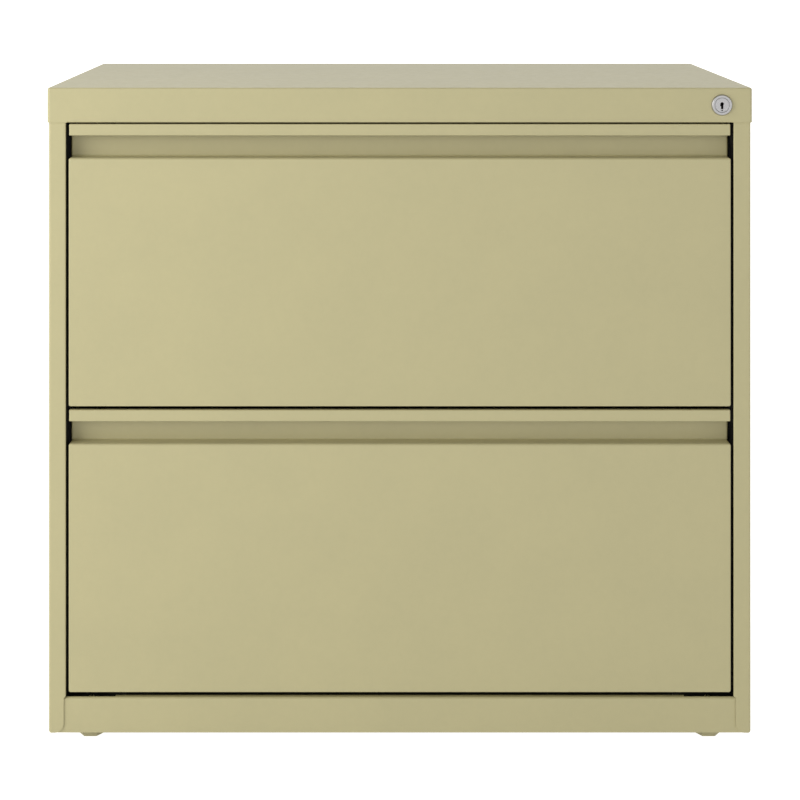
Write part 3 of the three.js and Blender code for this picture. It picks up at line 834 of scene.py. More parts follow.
@dataclass(frozen=True)
class SatinNickel(Finish):
    """Turned die-cast metal with a satin nickel plate."""

    name: str
    axis: tuple[float, float, float]
    colour: Colour = linear(190, 189, 189)
    slot: str = "satin_nickel"
    roughness: float = 0.3
    spread: Point = (0.04, 0.08)
    darker: float = 0.82
    ringed: float = 0.35
    relief: Point = (0.12, 0.01 * MM)

    def shade(self, work: Sheetwork, shader: bpy.types.Node,
              position: bpy.types.NodeSocket) -> None:
        """Gloss and tool rings of the plate.

        Args:
            work: The material's builder.
            shader: The material's shader.
            position: Where on the object a point is, in metres.
        """
        rings = self.effect(work, Effect.TURNED, Position=position, Axis=self.axis)
        groove = tuple(self.darker * value for value in self.colour)
        colour = work.blend(work.maths("MULTIPLY", rings.outputs["Rings"], self.ringed),
                            (*self.colour, 1.0), (*groove, 1.0))
        work.tree.links.new(colour, shader.inputs["Base Color"])
        rough = work.spread(rings.outputs["Rings"], 0.0, 1.0, self.roughness - self.spread[0],
                            self.roughness + self.spread[1])
        work.tree.links.new(rough, shader.inputs["Roughness"])
        shader.inputs["Metallic"].default_value = 1.0
        self.bump(work, shader, rings.outputs["Rings"], *self.relief)


LOCK_AXIS = (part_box("lock_housing")[0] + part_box("lock_housing")[1]) / 2
PUTTY = PowderCoat("Putty powder coat", (0.489, 0.443, 0.240), (0.468, 0.426, 0.233))
BRIGHT_ZINC = PlatedSteel("Bright zinc plate")
BLACK = Primer("Black primer")
KEYWAY = Primer("Oiled keyway", (0.0015, 0.0014, 0.0012), (0.003, 0.003, 0.0025), "satin_nickel")
NICKEL = SatinNickel("Satin nickel", tuple(LOCK_AXIS))


def mount(piece: bpy.types.Object, body: str, finish: Finish, *nodes: str) -> bpy.types.Object:
    """Finishes a piece, seats it on its body and lets it stand for CAD nodes.

    Args:
        piece: The piece, in place.
        body: The CAD body that it rides on.
        finish: What it is dressed in.
        nodes: The CAD nodes that it replaces.

    Returns:
        The same piece.
    """
    piece.data.materials.clear()
    piece.data.materials.append(finish.material())
    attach(piece, body)
    if nodes:
        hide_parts(*nodes)
    LOG.info("%s rides on %s, %d faces", piece.name, body, len(piece.data.polygons))
    return piece


def line(piece: bpy.types.Object, finish: Finish, hidden: Callable[[Vector], bool]) -> None:
    """Dresses some faces of a piece in a second finish.

    Args:
        piece: The piece, already mounted.
        finish: The second finish.
        hidden: Whether the face with this middle gets it.
    """
    piece.data.materials.append(finish.material())
    for face in piece.data.polygons:
        if hidden(face.center):
            face.material_index = 1


@dataclass(frozen=True)
class Box:
    """A CAD node's box at rest."""

    low: Vector
    high: Vector

    @classmethod
    def of(cls, node: str) -> "Box":
        """Reads a node's box from the frame."""
        return cls(*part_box(node))

    @property
    def middle(self) -> Vector:
        """The middle of the box."""
        return (self.low + self.high) / 2


CAP_FRONT = Box.of("top_cap").low.y


# ---- Casing --------------------------------------------------------------------------------


@dataclass
class Casing:
    """The fixed shell: cap, side panels, back, top rail and posts."""

    sheet: float = 1.1 * MM
    cap_corner: float = 3.0 * MM
    cap_edge: float = 2.2 * MM
    apron_cut: float = 1.6 * MM
    apron_bend: float = 1.5 * MM
    apron_gap: float = 1.2 * MM
    flange_return: float = 14.0 * MM
    return_lean: float = 3.0 * MM
    return_bend: float = 0.85 * MM
    rear_flange: float = 15.0 * MM
    foot_flange: float = 17.0 * MM
    foot_bend: float = 3.0 * MM
    foot_gap: float = 6.0 * MM
    foot_radius: float = 3.0 * MM
    foot_rise: float = 0.25 * MM
    seam_inset: float = 2.3 * MM
    seam_slant: float = 1.2 * MM
    seam_radius: float = 10.0 * MM
    shear_play: float = 0.2 * MM
    barrel: float = 18.4 * MM
    barrel_play: float = 0.35 * MM
    post_width: float = 35.0 * MM
    slot_place: Point = (20.0 * MM, 24.0 * MM)
    slot_half: float = 7.0 * MM
    slot_corner: float = 1.9 * MM
    slots_between: int = 6
    slots: range = range(-1, 11)
    guide_heights: tuple[float, ...] = (330 * MM, 480 * MM, 650 * MM)
    guide_half: float = 6.0 * MM
    guide_bend: float = 0.9 * MM
    guide_play: float = 0.35 * MM
    guide_width: float = 10.35 * MM

    def build(self) -> None:
        """Builds and dresses every piece of the casing."""
        self.cap()
        self.top_rail()
        self.back()
        for name, side in SIDES.items():
            self.side_panel(name, side)
            self.post("front", name, side)
            self.post("rear", name, side)

    def barrel_hole(self, front: float) -> bpy.types.Object:
        """A cutter for the hole that the lock's barrel passes through.

        Args:
            front: Where the pierced sheet is, front to back.

        Returns:
            The cutter.
        """
        radius = self.barrel / 2 + self.barrel_play
        return turned("barrel_hole", [(radius, front - 3 * OVER), (radius, front + 5 * OVER)],
                      LOCK_AXIS, Run.Y, endless=False)

    def cap(self) -> None:
        """The cap: a shallow tray upside down, its front apron turned in along the bottom."""
        box = Box.of("top_cap")
        low, high = box.low, box.high
        depth = high.z - low.z
        tray = Tray((low.x, low.y), (high.x, high.y), depth, self.cap_corner, self.cap_edge,
                    self.sheet)
        cap = tray.make("cap", lambda u, v, w: Vector((u, v, high.z - w)))
        half = self.sheet / 2
        reach = Box.of("front_top_rail").high.x - self.apron_gap
        turn = half + self.apron_cut
        waste = block("waste", (-reach, low.y - OVER, low.z - OVER),
                      (reach, low.y + self.sheet + 2 * OVER, low.z + turn))
        flange = Strip([Corner(low.y + half, low.z + turn), Corner(low.y + half, low.z + half),
                        Corner(low.y + self.flange_return, low.z + half)],
                       self.sheet, Run.X, (-reach, reach), bend=self.apron_bend)
        carve(cap, Join.CUT, waste, self.barrel_hole(low.y))
        carve(cap, Join.WELD, flange.make("flange"))
        mount(soften(cap), "cabinet", PUTTY, "top_cap")

    def top_rail(self) -> None:
        """The rail behind the cap's front edge, which carries the lock."""
        box = Box.of("front_top_rail")
        half = self.sheet / 2
        near, far = box.low.y + half, box.high.y
        top, bottom = box.high.z - half, box.low.z + half
        rail = Strip([Corner(far, top), Corner(near, top), Corner(near, bottom),
                      Corner(far, bottom)], self.sheet, Run.X, (box.low.x, box.high.x))
        piece = carve(rail.make("top_rail"), Join.CUT, self.barrel_hole(box.low.y))
        mount(soften(piece), "cabinet", PUTTY, "front_top_rail")

    def back(self) -> None:
        """The back panel, folded forward at the top."""
        box = Box.of("back_panel")
        half = self.sheet / 2
        middle, top = box.high.y - half, box.high.z - half
        panel = Strip([Corner(box.low.y, top), Corner(middle, top), Corner(middle, box.low.z)],
                      self.sheet, Run.X, (box.low.x, box.high.x))
        mount(soften(panel.make("back_sheet")), "cabinet", PUTTY, "back_panel")

    def side_panel(self, name: str, side: int) -> None:
        """A side panel with its front, rear and bottom flanges.

        Args:
            name: The side's name.
            side: The side's sign.
        """
        box = Box.of(f"side_panel_{name}")
        half = self.sheet / 2
        outer = max(abs(box.low.x), abs(box.high.x))
        inner = min(abs(box.low.x), abs(box.high.x))
        front, back = box.low.y, box.high.y
        bottom, top = box.low.z + self.foot_rise, box.high.z
        base = Box.of("base_front_rail").high.z
        turn = math.pi / 2 + math.atan2(self.return_lean, self.flange_return - half)
        corner = inner + half - self.return_bend * (math.tan(turn / 2) - 1)
        section = Strip([
            Corner(side * (corner + self.return_lean), front + self.flange_return),
            Corner(side * corner, front + half, self.return_bend),
            Corner(side * (outer - half), front + half),
            Corner(side * (outer - half), back - half),
            Corner(side * (outer - self.rear_flange), back - half),
        ], self.sheet, Run.Z, (bottom, top))
        panel = section.make(f"side_{name}")
        seam = inner + self.seam_inset
        shear = front + self.sheet + self.shear_play
        notch = [(inner - 2 * OVER, bottom - OVER), (seam, bottom - OVER),
                 (seam, base - self.seam_slant), (inner - OVER / 2, base + self.seam_slant),
                 (inner - 2 * OVER, base + self.seam_slant)]
        carve(panel, Join.CUT,
              prism("edge_waste", [(side * u, v) for u, v in notch], Run.Y,
                    (front - OVER, shear)),
              block("return_waste", (side * (inner - 2 * OVER), shear, bottom - OVER),
                    (side * (inner + self.return_lean + 3 * OVER),
                     front + self.flange_return + OVER, base + self.seam_slant)),
              self.round_off("seam_corner", side * seam, bottom, self.seam_radius, side,
                             (front - OVER, shear)),
              self.round_off("foot_corner", side * outer, bottom, self.foot_radius, -side,
                             (front - OVER, back + OVER)))
        reach = (front + self.foot_gap, back - self.foot_gap)
        rise = bottom + self.foot_bend + 2 * OVER
        waste = block("waste", (side * (outer - self.foot_bend), reach[0], bottom - OVER),
                      (side * (outer + OVER), reach[1], rise))
        flange = Strip([
            Corner(side * (outer - half), rise),
            Corner(side * (outer - half), bottom + half, self.foot_bend),
            Corner(side * (outer - self.foot_flange), bottom + half),
        ], self.sheet, Run.Y, reach)
        carve(panel, Join.CUT, waste)
        carve(panel, Join.WELD, flange.make("flange"))
        mount(soften(panel), "cabinet", PUTTY, f"side_panel_{name}")

    def post(self, row: str, name: str, side: int) -> None:
        """A post with its ladder of slots, and on the right front one the bar's guides.

        Args:
            row: Whether it is a "front" or a "rear" post.
            name: The side's name.
            side: The side's sign.
        """
        node = f"post_{row}_{name}"
        box = Box.of(node)
        half = self.sheet / 2
        inner, outer = sorted((abs(box.low.x), abs(box.high.x)))
        front = box.high.y - self.post_width
        web = side * (inner + half)
        channel = Strip([
            Corner(side * outer, front + half), Corner(web, front + half),
            Corner(web, box.high.y - half), Corner(side * outer, box.high.y - half),
        ], self.sheet, Run.Z, (box.low.z, box.high.z)).make(f"upright_{row}_{name}")
        lower, upper = (Box.of(f"{level}_slide_cabinet_{name}").middle.z for level in ROWS)
        pitch = (upper - lower) / self.slots_between
        reach = sorted((side * (inner - OVER), side * (inner + 3 * OVER)))
        slots = []
        for k in self.slots:
            low = (front + self.slot_place[0], lower + k * pitch - self.slot_half)
            high = (front + self.slot_place[1], lower + k * pitch + self.slot_half)
            slots.append(prism("slot", rounded_rectangle(low, high, self.slot_corner), Run.X,
                               reach))
        carve(channel, Join.CUT, *slots)
        if row == "front" and side > 0:
            bar = Box.of("lock_bar")
            near = bar.low.y - self.guide_play - half
            left = bar.high.x - self.guide_width - half
            right = bar.high.x + self.guide_play + half
            guides = [Strip([
                Corner(left, front + half), Corner(left, near, self.guide_bend),
                Corner(right, near, self.guide_bend), Corner(right, front + half),
            ], self.sheet, Run.Z, (z - self.guide_half, z + self.guide_half)).make("guide")
                for z in self.guide_heights]
            carve(channel, Join.WELD, *guides)
        mount(soften(channel), "cabinet", BLACK, node)

    @staticmethod
    def round_off(name: str, u: float, v: float, radius: float, inward: int,
                  span: Point, steps: int = 10) -> bpy.types.Object:
        """A cutter that rounds a square lower corner.

        Args:
            name: The cutter's name.
            u: Where the corner is across the cabinet.
            v: How high the corner is.
            radius: The radius it gets.
            inward: 1 if the sheet lies on the corner's right, -1 if on its left.
            span: Where the cut starts and ends, front to back.
            steps: Faces in the corner.

        Returns:
            The cutter.
        """
        points = [(u - inward * OVER, v - OVER), (u + inward * radius, v - OVER)]
        for k in range(steps + 1):
            angle = math.pi / 2 * k / steps
            points.append((u + inward * radius * (1 - math.sin(angle)),
                           v + radius * (1 - math.cos(angle))))
        points.append((u - inward * OVER, v + radius))
        return prism(name, points, Run.Y, span)


# ---- Base ----------------------------------------------------------------------------------


@dataclass
class Base:
    """The base rails and the four levelling glides."""

    sheet: float = 1.1 * MM
    top_bend: float = 2.6 * MM
    top_drop: float = 0.8 * MM
    notch: float = 308.0 * MM
    rear_fold: float = 7.5 * MM
    toe: Point = (15.0 * MM, 4.0 * MM)
    foot_height: float = 13.0 * MM
    foot_radius: float = 14.66 * MM
    foot_chamfer: float = 0.8 * MM
    foot_sole: tuple[Point, ...] = (
        (1.6 * MM, 0.0), (0.8 * MM, 0.4 * MM), (0.5 * MM, 1.1 * MM))
    stud: float = 4.0 * MM
    stud_root: float = 3.0 * MM
    stud_tip: float = 0.7 * MM
    thread_pitch: float = 1.25 * MM
    thread_groove: Point = (0.42 * MM, 0.55 * MM)
    thread_land: float = 1.1 * MM
    thread_end: float = 1.6 * MM
    driver_slot: tuple[float, float, float] = (0.7 * MM, 5.0 * MM, 2.0 * MM)
    saddle: float = 2.0 * MM
    saddle_bend: float = 3.0 * MM
    nut_sink: float = 0.5 * MM
    nut_radius: float = 8.0 * MM
    nut_edge: Point = (7.1 * MM, 7.6 * MM)
    nut_height: float = 8.5 * MM
    bore_play: float = 0.2 * MM

    def build(self) -> None:
        """Builds and dresses every piece of the base."""
        self.front_rail()
        self.rear_rail()
        for row in ("front", "rear"):
            for name in SIDES:
                self.bracket(row, name)
                self.glide(row, name)

    def front_rail(self) -> None:
        """The front rail, with its top flange stopped short of the glides."""
        box = Box.of("base_front_rail")
        half = self.sheet / 2
        face, far = box.low.y + half, box.high.y
        top = box.high.z - self.top_drop - half
        rail = Strip([Corner(far, top), Corner(face, top, self.top_bend),
                      Corner(face, box.low.z)], self.sheet, Run.X,
                     (box.low.x, box.high.x)).make("base_rail")
        waste = [block(f"notch_{name}", (side * self.notch, box.low.y + 3 * self.sheet,
                                         box.high.z - self.top_bend - 2 * OVER),
                       (side * (box.high.x + OVER), box.high.y + OVER, box.high.z + OVER))
                 for name, side in SIDES.items()]
        carve(rail, Join.CUT, *waste)
        mount(soften(rail), "cabinet", PUTTY, "base_front_rail")

    def rear_rail(self) -> None:
        """The rear rail, folded inwards at the top and bottom."""
        box = Box.of("base_rear_rail")
        half = self.sheet / 2
        face = box.high.y - half
        top, bottom = box.high.z - half, box.low.z + half
        rail = Strip([Corner(box.high.y - self.rear_fold, top), Corner(face, top, self.top_bend),
                      Corner(face, bottom), Corner(box.low.y, bottom)], self.sheet, Run.X,
                     (box.low.x, box.high.x)).make("rear_base_rail")
        deep = (box.low.y - OVER, box.high.y - 1.5 * self.sheet)
        waste = []
        for side in SIDES.values():
            waste.append(block("notch", (side * self.notch, deep[0],
                                         box.high.z - self.top_bend - 2 * OVER),
                               (side * (box.high.x + OVER), deep[1], box.high.z + OVER)))
            waste.append(block("toe", (side * (box.high.x - self.toe[0]), deep[0],
                                       box.low.z - OVER),
                               (side * (box.high.x + OVER), deep[1], box.low.z + self.toe[1])))
        carve(rail, Join.CUT, *waste)
        mount(soften(rail), "cabinet", PUTTY, "base_rear_rail")

    def bracket(self, row: str, name: str) -> None:
        """The saddle over a glide, with its weld nut.

        Args:
            row: Whether it is a "front" or a "rear" bracket.
            name: The side's name.
        """
        node = f"glide_bracket_{row}_{name}"
        box = Box.of(node)
        centre = Box.of(f"glide_{row}_{name}").middle
        half = self.saddle / 2
        level = box.low.z + half
        saddle = Strip([
            Corner(box.low.y + half, box.high.z), Corner(box.low.y + half, level),
            Corner(box.high.y - half, level), Corner(box.high.y - half, box.high.z),
        ], self.saddle, Run.X, (box.low.x, box.high.x), self.saddle_bend)
        saddle = saddle.make(f"saddle_{row}_{name}")
        low = level + self.nut_sink
        radius, high = self.stud + self.bore_play, low + self.nut_height
        nut = turned("weld_nut", [
            (PITH, low), (self.nut_radius, low), (self.nut_radius, low + self.nut_edge[1]),
            (self.nut_edge[0], high), (PITH, high)], centre, Run.Z, HEXAGON, endless=False)
        bore = turned("bore", [(radius, low - 5 * OVER), (radius, low + 12 * OVER)], centre,
                      Run.Z, 32, endless=False)
        carve(carve(saddle, Join.WELD, nut), Join.CUT, bore)
        mount(soften(saddle), "cabinet", BLACK, node)

    def glide(self, row: str, name: str) -> None:
        """A levelling glide: a hexagon foot, flat to the front, under a slotted stud.

        Args:
            row: Whether it is a "front" or a "rear" glide.
            name: The side's name.
        """
        box = Box.of(f"glide_{row}_{name}")
        centre = box.middle
        low, top = box.low.z, box.high.z
        wide, high = self.foot_radius, low + self.foot_height
        foot = [(PITH, low), *((wide - inset, low + rise) for inset, rise in self.foot_sole),
                (wide, high - self.foot_chamfer), (wide - self.foot_chamfer, high), (PITH, high)]
        hexagon = turned(f"foot_{row}_{name}", foot, centre, Run.Z, HEXAGON, endless=False)
        deep, groove = self.thread_groove
        thread = [(self.stud_root, high - OVER), (self.stud, high - OVER)]
        crest = high + OVER
        while crest < top - self.thread_end:
            thread += [(self.stud, crest), (self.stud - deep, crest + groove),
                       (self.stud, crest + self.thread_land)]
            crest += self.thread_pitch
        thread += [(self.stud - self.stud_tip, top), (PITH, top)]
        shank = turned("stem", thread, centre, Run.Z, 32, endless=False)
        across, along, down = self.driver_slot
        slot = block("slot", (centre.x - across, centre.y - along, top - down),
                     (centre.x + across, centre.y + along, top + OVER))
        carve(shank, Join.CUT, slot)
        body = f"glide_foot_{row}_{name}"
        mount(soften(hexagon, edge=0.25 * MM), body, PUTTY, f"glide_{row}_{name}")
        shank.name = f"stud_{row}_{name}"
        mount(soften(shank, edge=0.1 * MM), body, PUTTY)


# ---- Lock ----------------------------------------------------------------------------------


@dataclass
class Lock:
    """The corner lock: barrel with domed bezel, plug, nut, cam and lock bar."""

    bezel_proud: float = 2.5 * MM
    bezel_sink: float = 0.15 * MM
    bezel_roll: float = 0.7 * MM
    bezel_slope: float = math.radians(65)
    bezel_steps: int = 8
    mouth_play: float = 0.28 * MM
    mouth_edge: Point = (0.14 * MM, 0.04 * MM)
    barrel: float = 9.2 * MM
    barrel_bore: float = 6.3 * MM
    pocket: float = 7.0 * MM
    plug_radius: float = 7.75 * MM
    plug_edge: Point = (0.2 * MM, 0.05 * MM)
    plug_core: float = 5.95 * MM
    plug_head: float = 6.7 * MM
    plug_pith: float = 0.3 * MM
    keyway_depth: float = 9.0 * MM
    keyway_slot: tuple[Point, Point] = ((-1.25 * MM, 1.25 * MM), (-4.2 * MM, 1.3 * MM))
    keyway_ward: tuple[Point, Point] = ((-2.2 * MM, -1.1 * MM), (-1.0 * MM, 0.8 * MM))
    keyway_eye: Point = (1.9 * MM, 1.3 * MM)
    service_hole: tuple[float, float, float] = (0.8 * MM, -5.8 * MM, 4.0 * MM)
    lining: Point = (0.1 * MM, 0.5 * MM)
    tail: tuple[float, float, float] = (2.5 * MM, 14.0 * MM, 14.5 * MM)
    nut_bore: Point = (9.0 * MM, 9.5 * MM)
    nut_chamfer: Point = (0.8 * MM, 0.45 * MM)
    cam_sheet: float = 2.0 * MM
    cam_hub: float = 5.4 * MM
    cam_boss: float = 2.7 * MM
    cam_square: float = 2.6 * MM
    cam_pin: Point = (1.3 * MM, 0.3 * MM)
    throw: float = 7.0 * MM
    bar_width: float = 10.0 * MM
    bar_corner: float = 2.0 * MM
    bar_root: float = 5.0 * MM
    arm_low: float = 16.0 * MM
    tab_height: float = 12.0 * MM
    tab_clear: float = 1.5 * MM
    fork_half: float = 2.0 * MM
    fork_reach: float = 1.9 * MM
    body: str = "lock_plug_and_cam"

    def build(self) -> None:
        """Builds and dresses every piece of the lock."""
        self.housing()
        self.plug()
        self.nut()
        self.cam()
        self.bar()

    def housing(self) -> None:
        """The barrel and its bezel, a low cone with a rounded edge."""
        box = Box.of("lock_housing")
        front, back = box.low.y, box.high.y
        rim = (box.high.x - box.low.x) / 2
        seat = front + self.bezel_proud - self.bezel_sink
        roll, steep = self.bezel_roll, self.bezel_slope
        drop = roll * (1 - math.cos(steep))
        flat = rim - roll * math.sin(steep) - (seat - front - drop) / math.tan(steep)
        mouth = self.plug_radius + self.mouth_play
        edge, ease = self.mouth_edge
        profile = [(self.barrel_bore, front + self.pocket), (self.barrel_bore, back),
                   (self.barrel, back), (self.barrel, seat), (rim, seat)]
        for k in range(self.bezel_steps, -1, -1):
            angle = steep * k / self.bezel_steps
            profile.append((flat + roll * math.sin(angle), front + roll * (1 - math.cos(angle))))
        profile += [(mouth + edge, front), (mouth + ease, front + ease), (mouth, front + edge),
                    (mouth, front + self.pocket)]
        piece = turned("lock_barrel", profile, LOCK_AXIS, Run.Y, 96)
        mount(soften(piece, edge=0.1 * MM), "cabinet", NICKEL, "lock_housing")

    def plug(self) -> None:
        """The plug: a keyway of a round hole over a slot, and a service hole beneath it."""
        box = Box.of("lock_plug")
        face, back = box.low.y, box.high.y
        axis = LOCK_AXIS
        rim = self.plug_radius
        edge, ease = self.plug_edge
        neck = face + self.plug_head
        half, bare, rooted = self.tail
        profile = [(self.plug_pith, face), (rim - edge, face), (rim - ease, face + ease),
                   (rim, face + edge), (rim, neck), (self.plug_core, neck),
                   (self.plug_core, back - bare), (self.plug_pith, back - bare)]
        piece = turned("lock_core", profile, axis, Run.Y, 96, endless=False)
        front, deep = face - OVER, face + self.keyway_depth
        cutters = [block("slot", (axis.x + across[0], front, axis.z + up[0]),
                         (axis.x + across[1], deep, axis.z + up[1]))
                   for across, up in (self.keyway_slot, self.keyway_ward)]
        radius, up = self.keyway_eye
        cutters.append(turned("eye", [(radius, front), (radius, deep)],
                              axis + Vector((0, 0, up)), Run.Y, 32, endless=False))
        radius, up, depth = self.service_hole
        cutters.append(turned("service", [(radius, front), (radius, face + depth)],
                              axis + Vector((0, 0, up)), Run.Y, 24, endless=False))
        carve(piece, Join.CUT, *cutters)
        mount(soften(piece, edge=0.08 * MM), self.body, NICKEL, "lock_plug")
        line(piece, KEYWAY, lambda middle: middle.y > face + self.lining[0]
             and (middle - axis).xz.length < rim - self.lining[1])
        tail = block("lock_tail", (axis.x - half, back - rooted, axis.z - half),
                     (axis.x + half, back, axis.z + half))
        mount(soften(tail), self.body, NICKEL)

    def nut(self) -> None:
        """The hexagon nut behind the rail, chamfered and threaded."""
        box = Box.of("lock_nut")
        near, far = box.low.y, box.high.y
        wide = (box.high.z - box.low.z) / 2
        bore, tap = self.nut_bore
        inset, fall = self.nut_chamfer
        piece = turned("hexagon_nut", [
            (bore, near), (wide - inset, near), (wide, near + fall), (wide, far - fall),
            (wide - inset, far), (bore, far)], LOCK_AXIS, Run.Y, HEXAGON, math.pi / 2,
            endless=False)
        thread = turned("thread", [(tap, near - OVER), (tap, far + OVER)], LOCK_AXIS,
                        Run.Y, 48, endless=False)
        carve(piece, Join.CUT, thread)
        mount(soften(piece, edge=0.1 * MM), "cabinet", BRIGHT_ZINC, "lock_nut")

    def cam(self) -> None:
        """The cam: a hub, an arm up to the right and the pin that works the bar."""
        box = Box.of("lock_cam")
        axis = LOCK_AXIS
        near = box.low.y
        rear = near + self.cam_sheet
        pin = self.throw * math.sqrt(0.5)
        tip = axis + Vector((pin, 0, pin))
        lean = Vector((-math.sqrt(0.5), 0, math.sqrt(0.5)))
        outline = [axis + lean * self.cam_hub, axis - lean * self.cam_hub,
                   tip - lean * self.cam_boss, tip + lean * self.cam_boss]
        piece = prism("cam_arm", [(p.x, p.z) for p in outline], Run.Y, (near, rear))
        disc = turned("hub", [(self.cam_hub, near), (self.cam_hub, rear)], axis, Run.Y, 48,
                      endless=False)
        boss = turned("boss", [(self.cam_boss, near), (self.cam_boss, rear)], tip, Run.Y, 32,
                      endless=False)
        radius, chamfer = self.cam_pin
        stem = turned("pin", [(radius, near + self.cam_sheet / 2), (radius, box.high.y - chamfer),
                              (radius - chamfer, box.high.y)], tip, Run.Y, 24, endless=False)
        carve(piece, Join.WELD, disc, boss, stem)
        half = self.cam_square
        hole = block("square", (axis.x - half, near - OVER, axis.z - half),
                     (axis.x + half, rear + OVER, axis.z + half))
        carve(piece, Join.CUT, hole)
        mount(soften(piece, edge=0.12 * MM), self.body, BRIGHT_ZINC, "lock_cam")

    def bar(self) -> None:
        """The lock bar: a strip with a forked arm for the pin and a tab over each catch."""
        box = Box.of("lock_bar")
        span = (box.low.y, box.high.y)
        inner = box.high.x - self.bar_width
        top = box.high.z

        def plate(name: str, low: Point, high: Point) -> bpy.types.Object:
            """A plate of the bar's thickness with round corners."""
            return prism(name, rounded_rectangle(low, high, self.bar_corner), Run.Y, span)

        piece = plate("drop_bar", (inner, box.low.z), (box.high.x, top))
        rooted = inner + self.bar_root
        parts = [plate("arm", (box.low.x, top - self.arm_low), (rooted, top - OVER))]
        rise = CATCH_HEIGHT + CATCH_HALF + self.tab_clear
        for row in ROWS:
            under = Box.of(f"{row}_drawer_front").low.z + rise
            parts.append(plate("tab", (box.low.x, under), (rooted, under + self.tab_height)))
        carve(piece, Join.WELD, *parts)
        pin = LOCK_AXIS.z + self.throw * math.sqrt(0.5)
        fork = block("fork", (box.low.x - OVER, span[0] - OVER, pin - self.fork_half),
                     (LOCK_AXIS.x + self.throw + self.fork_reach, span[1] + OVER,
                      pin + self.fork_half))
        carve(piece, Join.CUT, fork)
        mount(soften(piece, edge=0.15 * MM), "lock_bar_slider", BLACK, "lock_bar")


# ---- Drawers -------------------------------------------------------------------------------


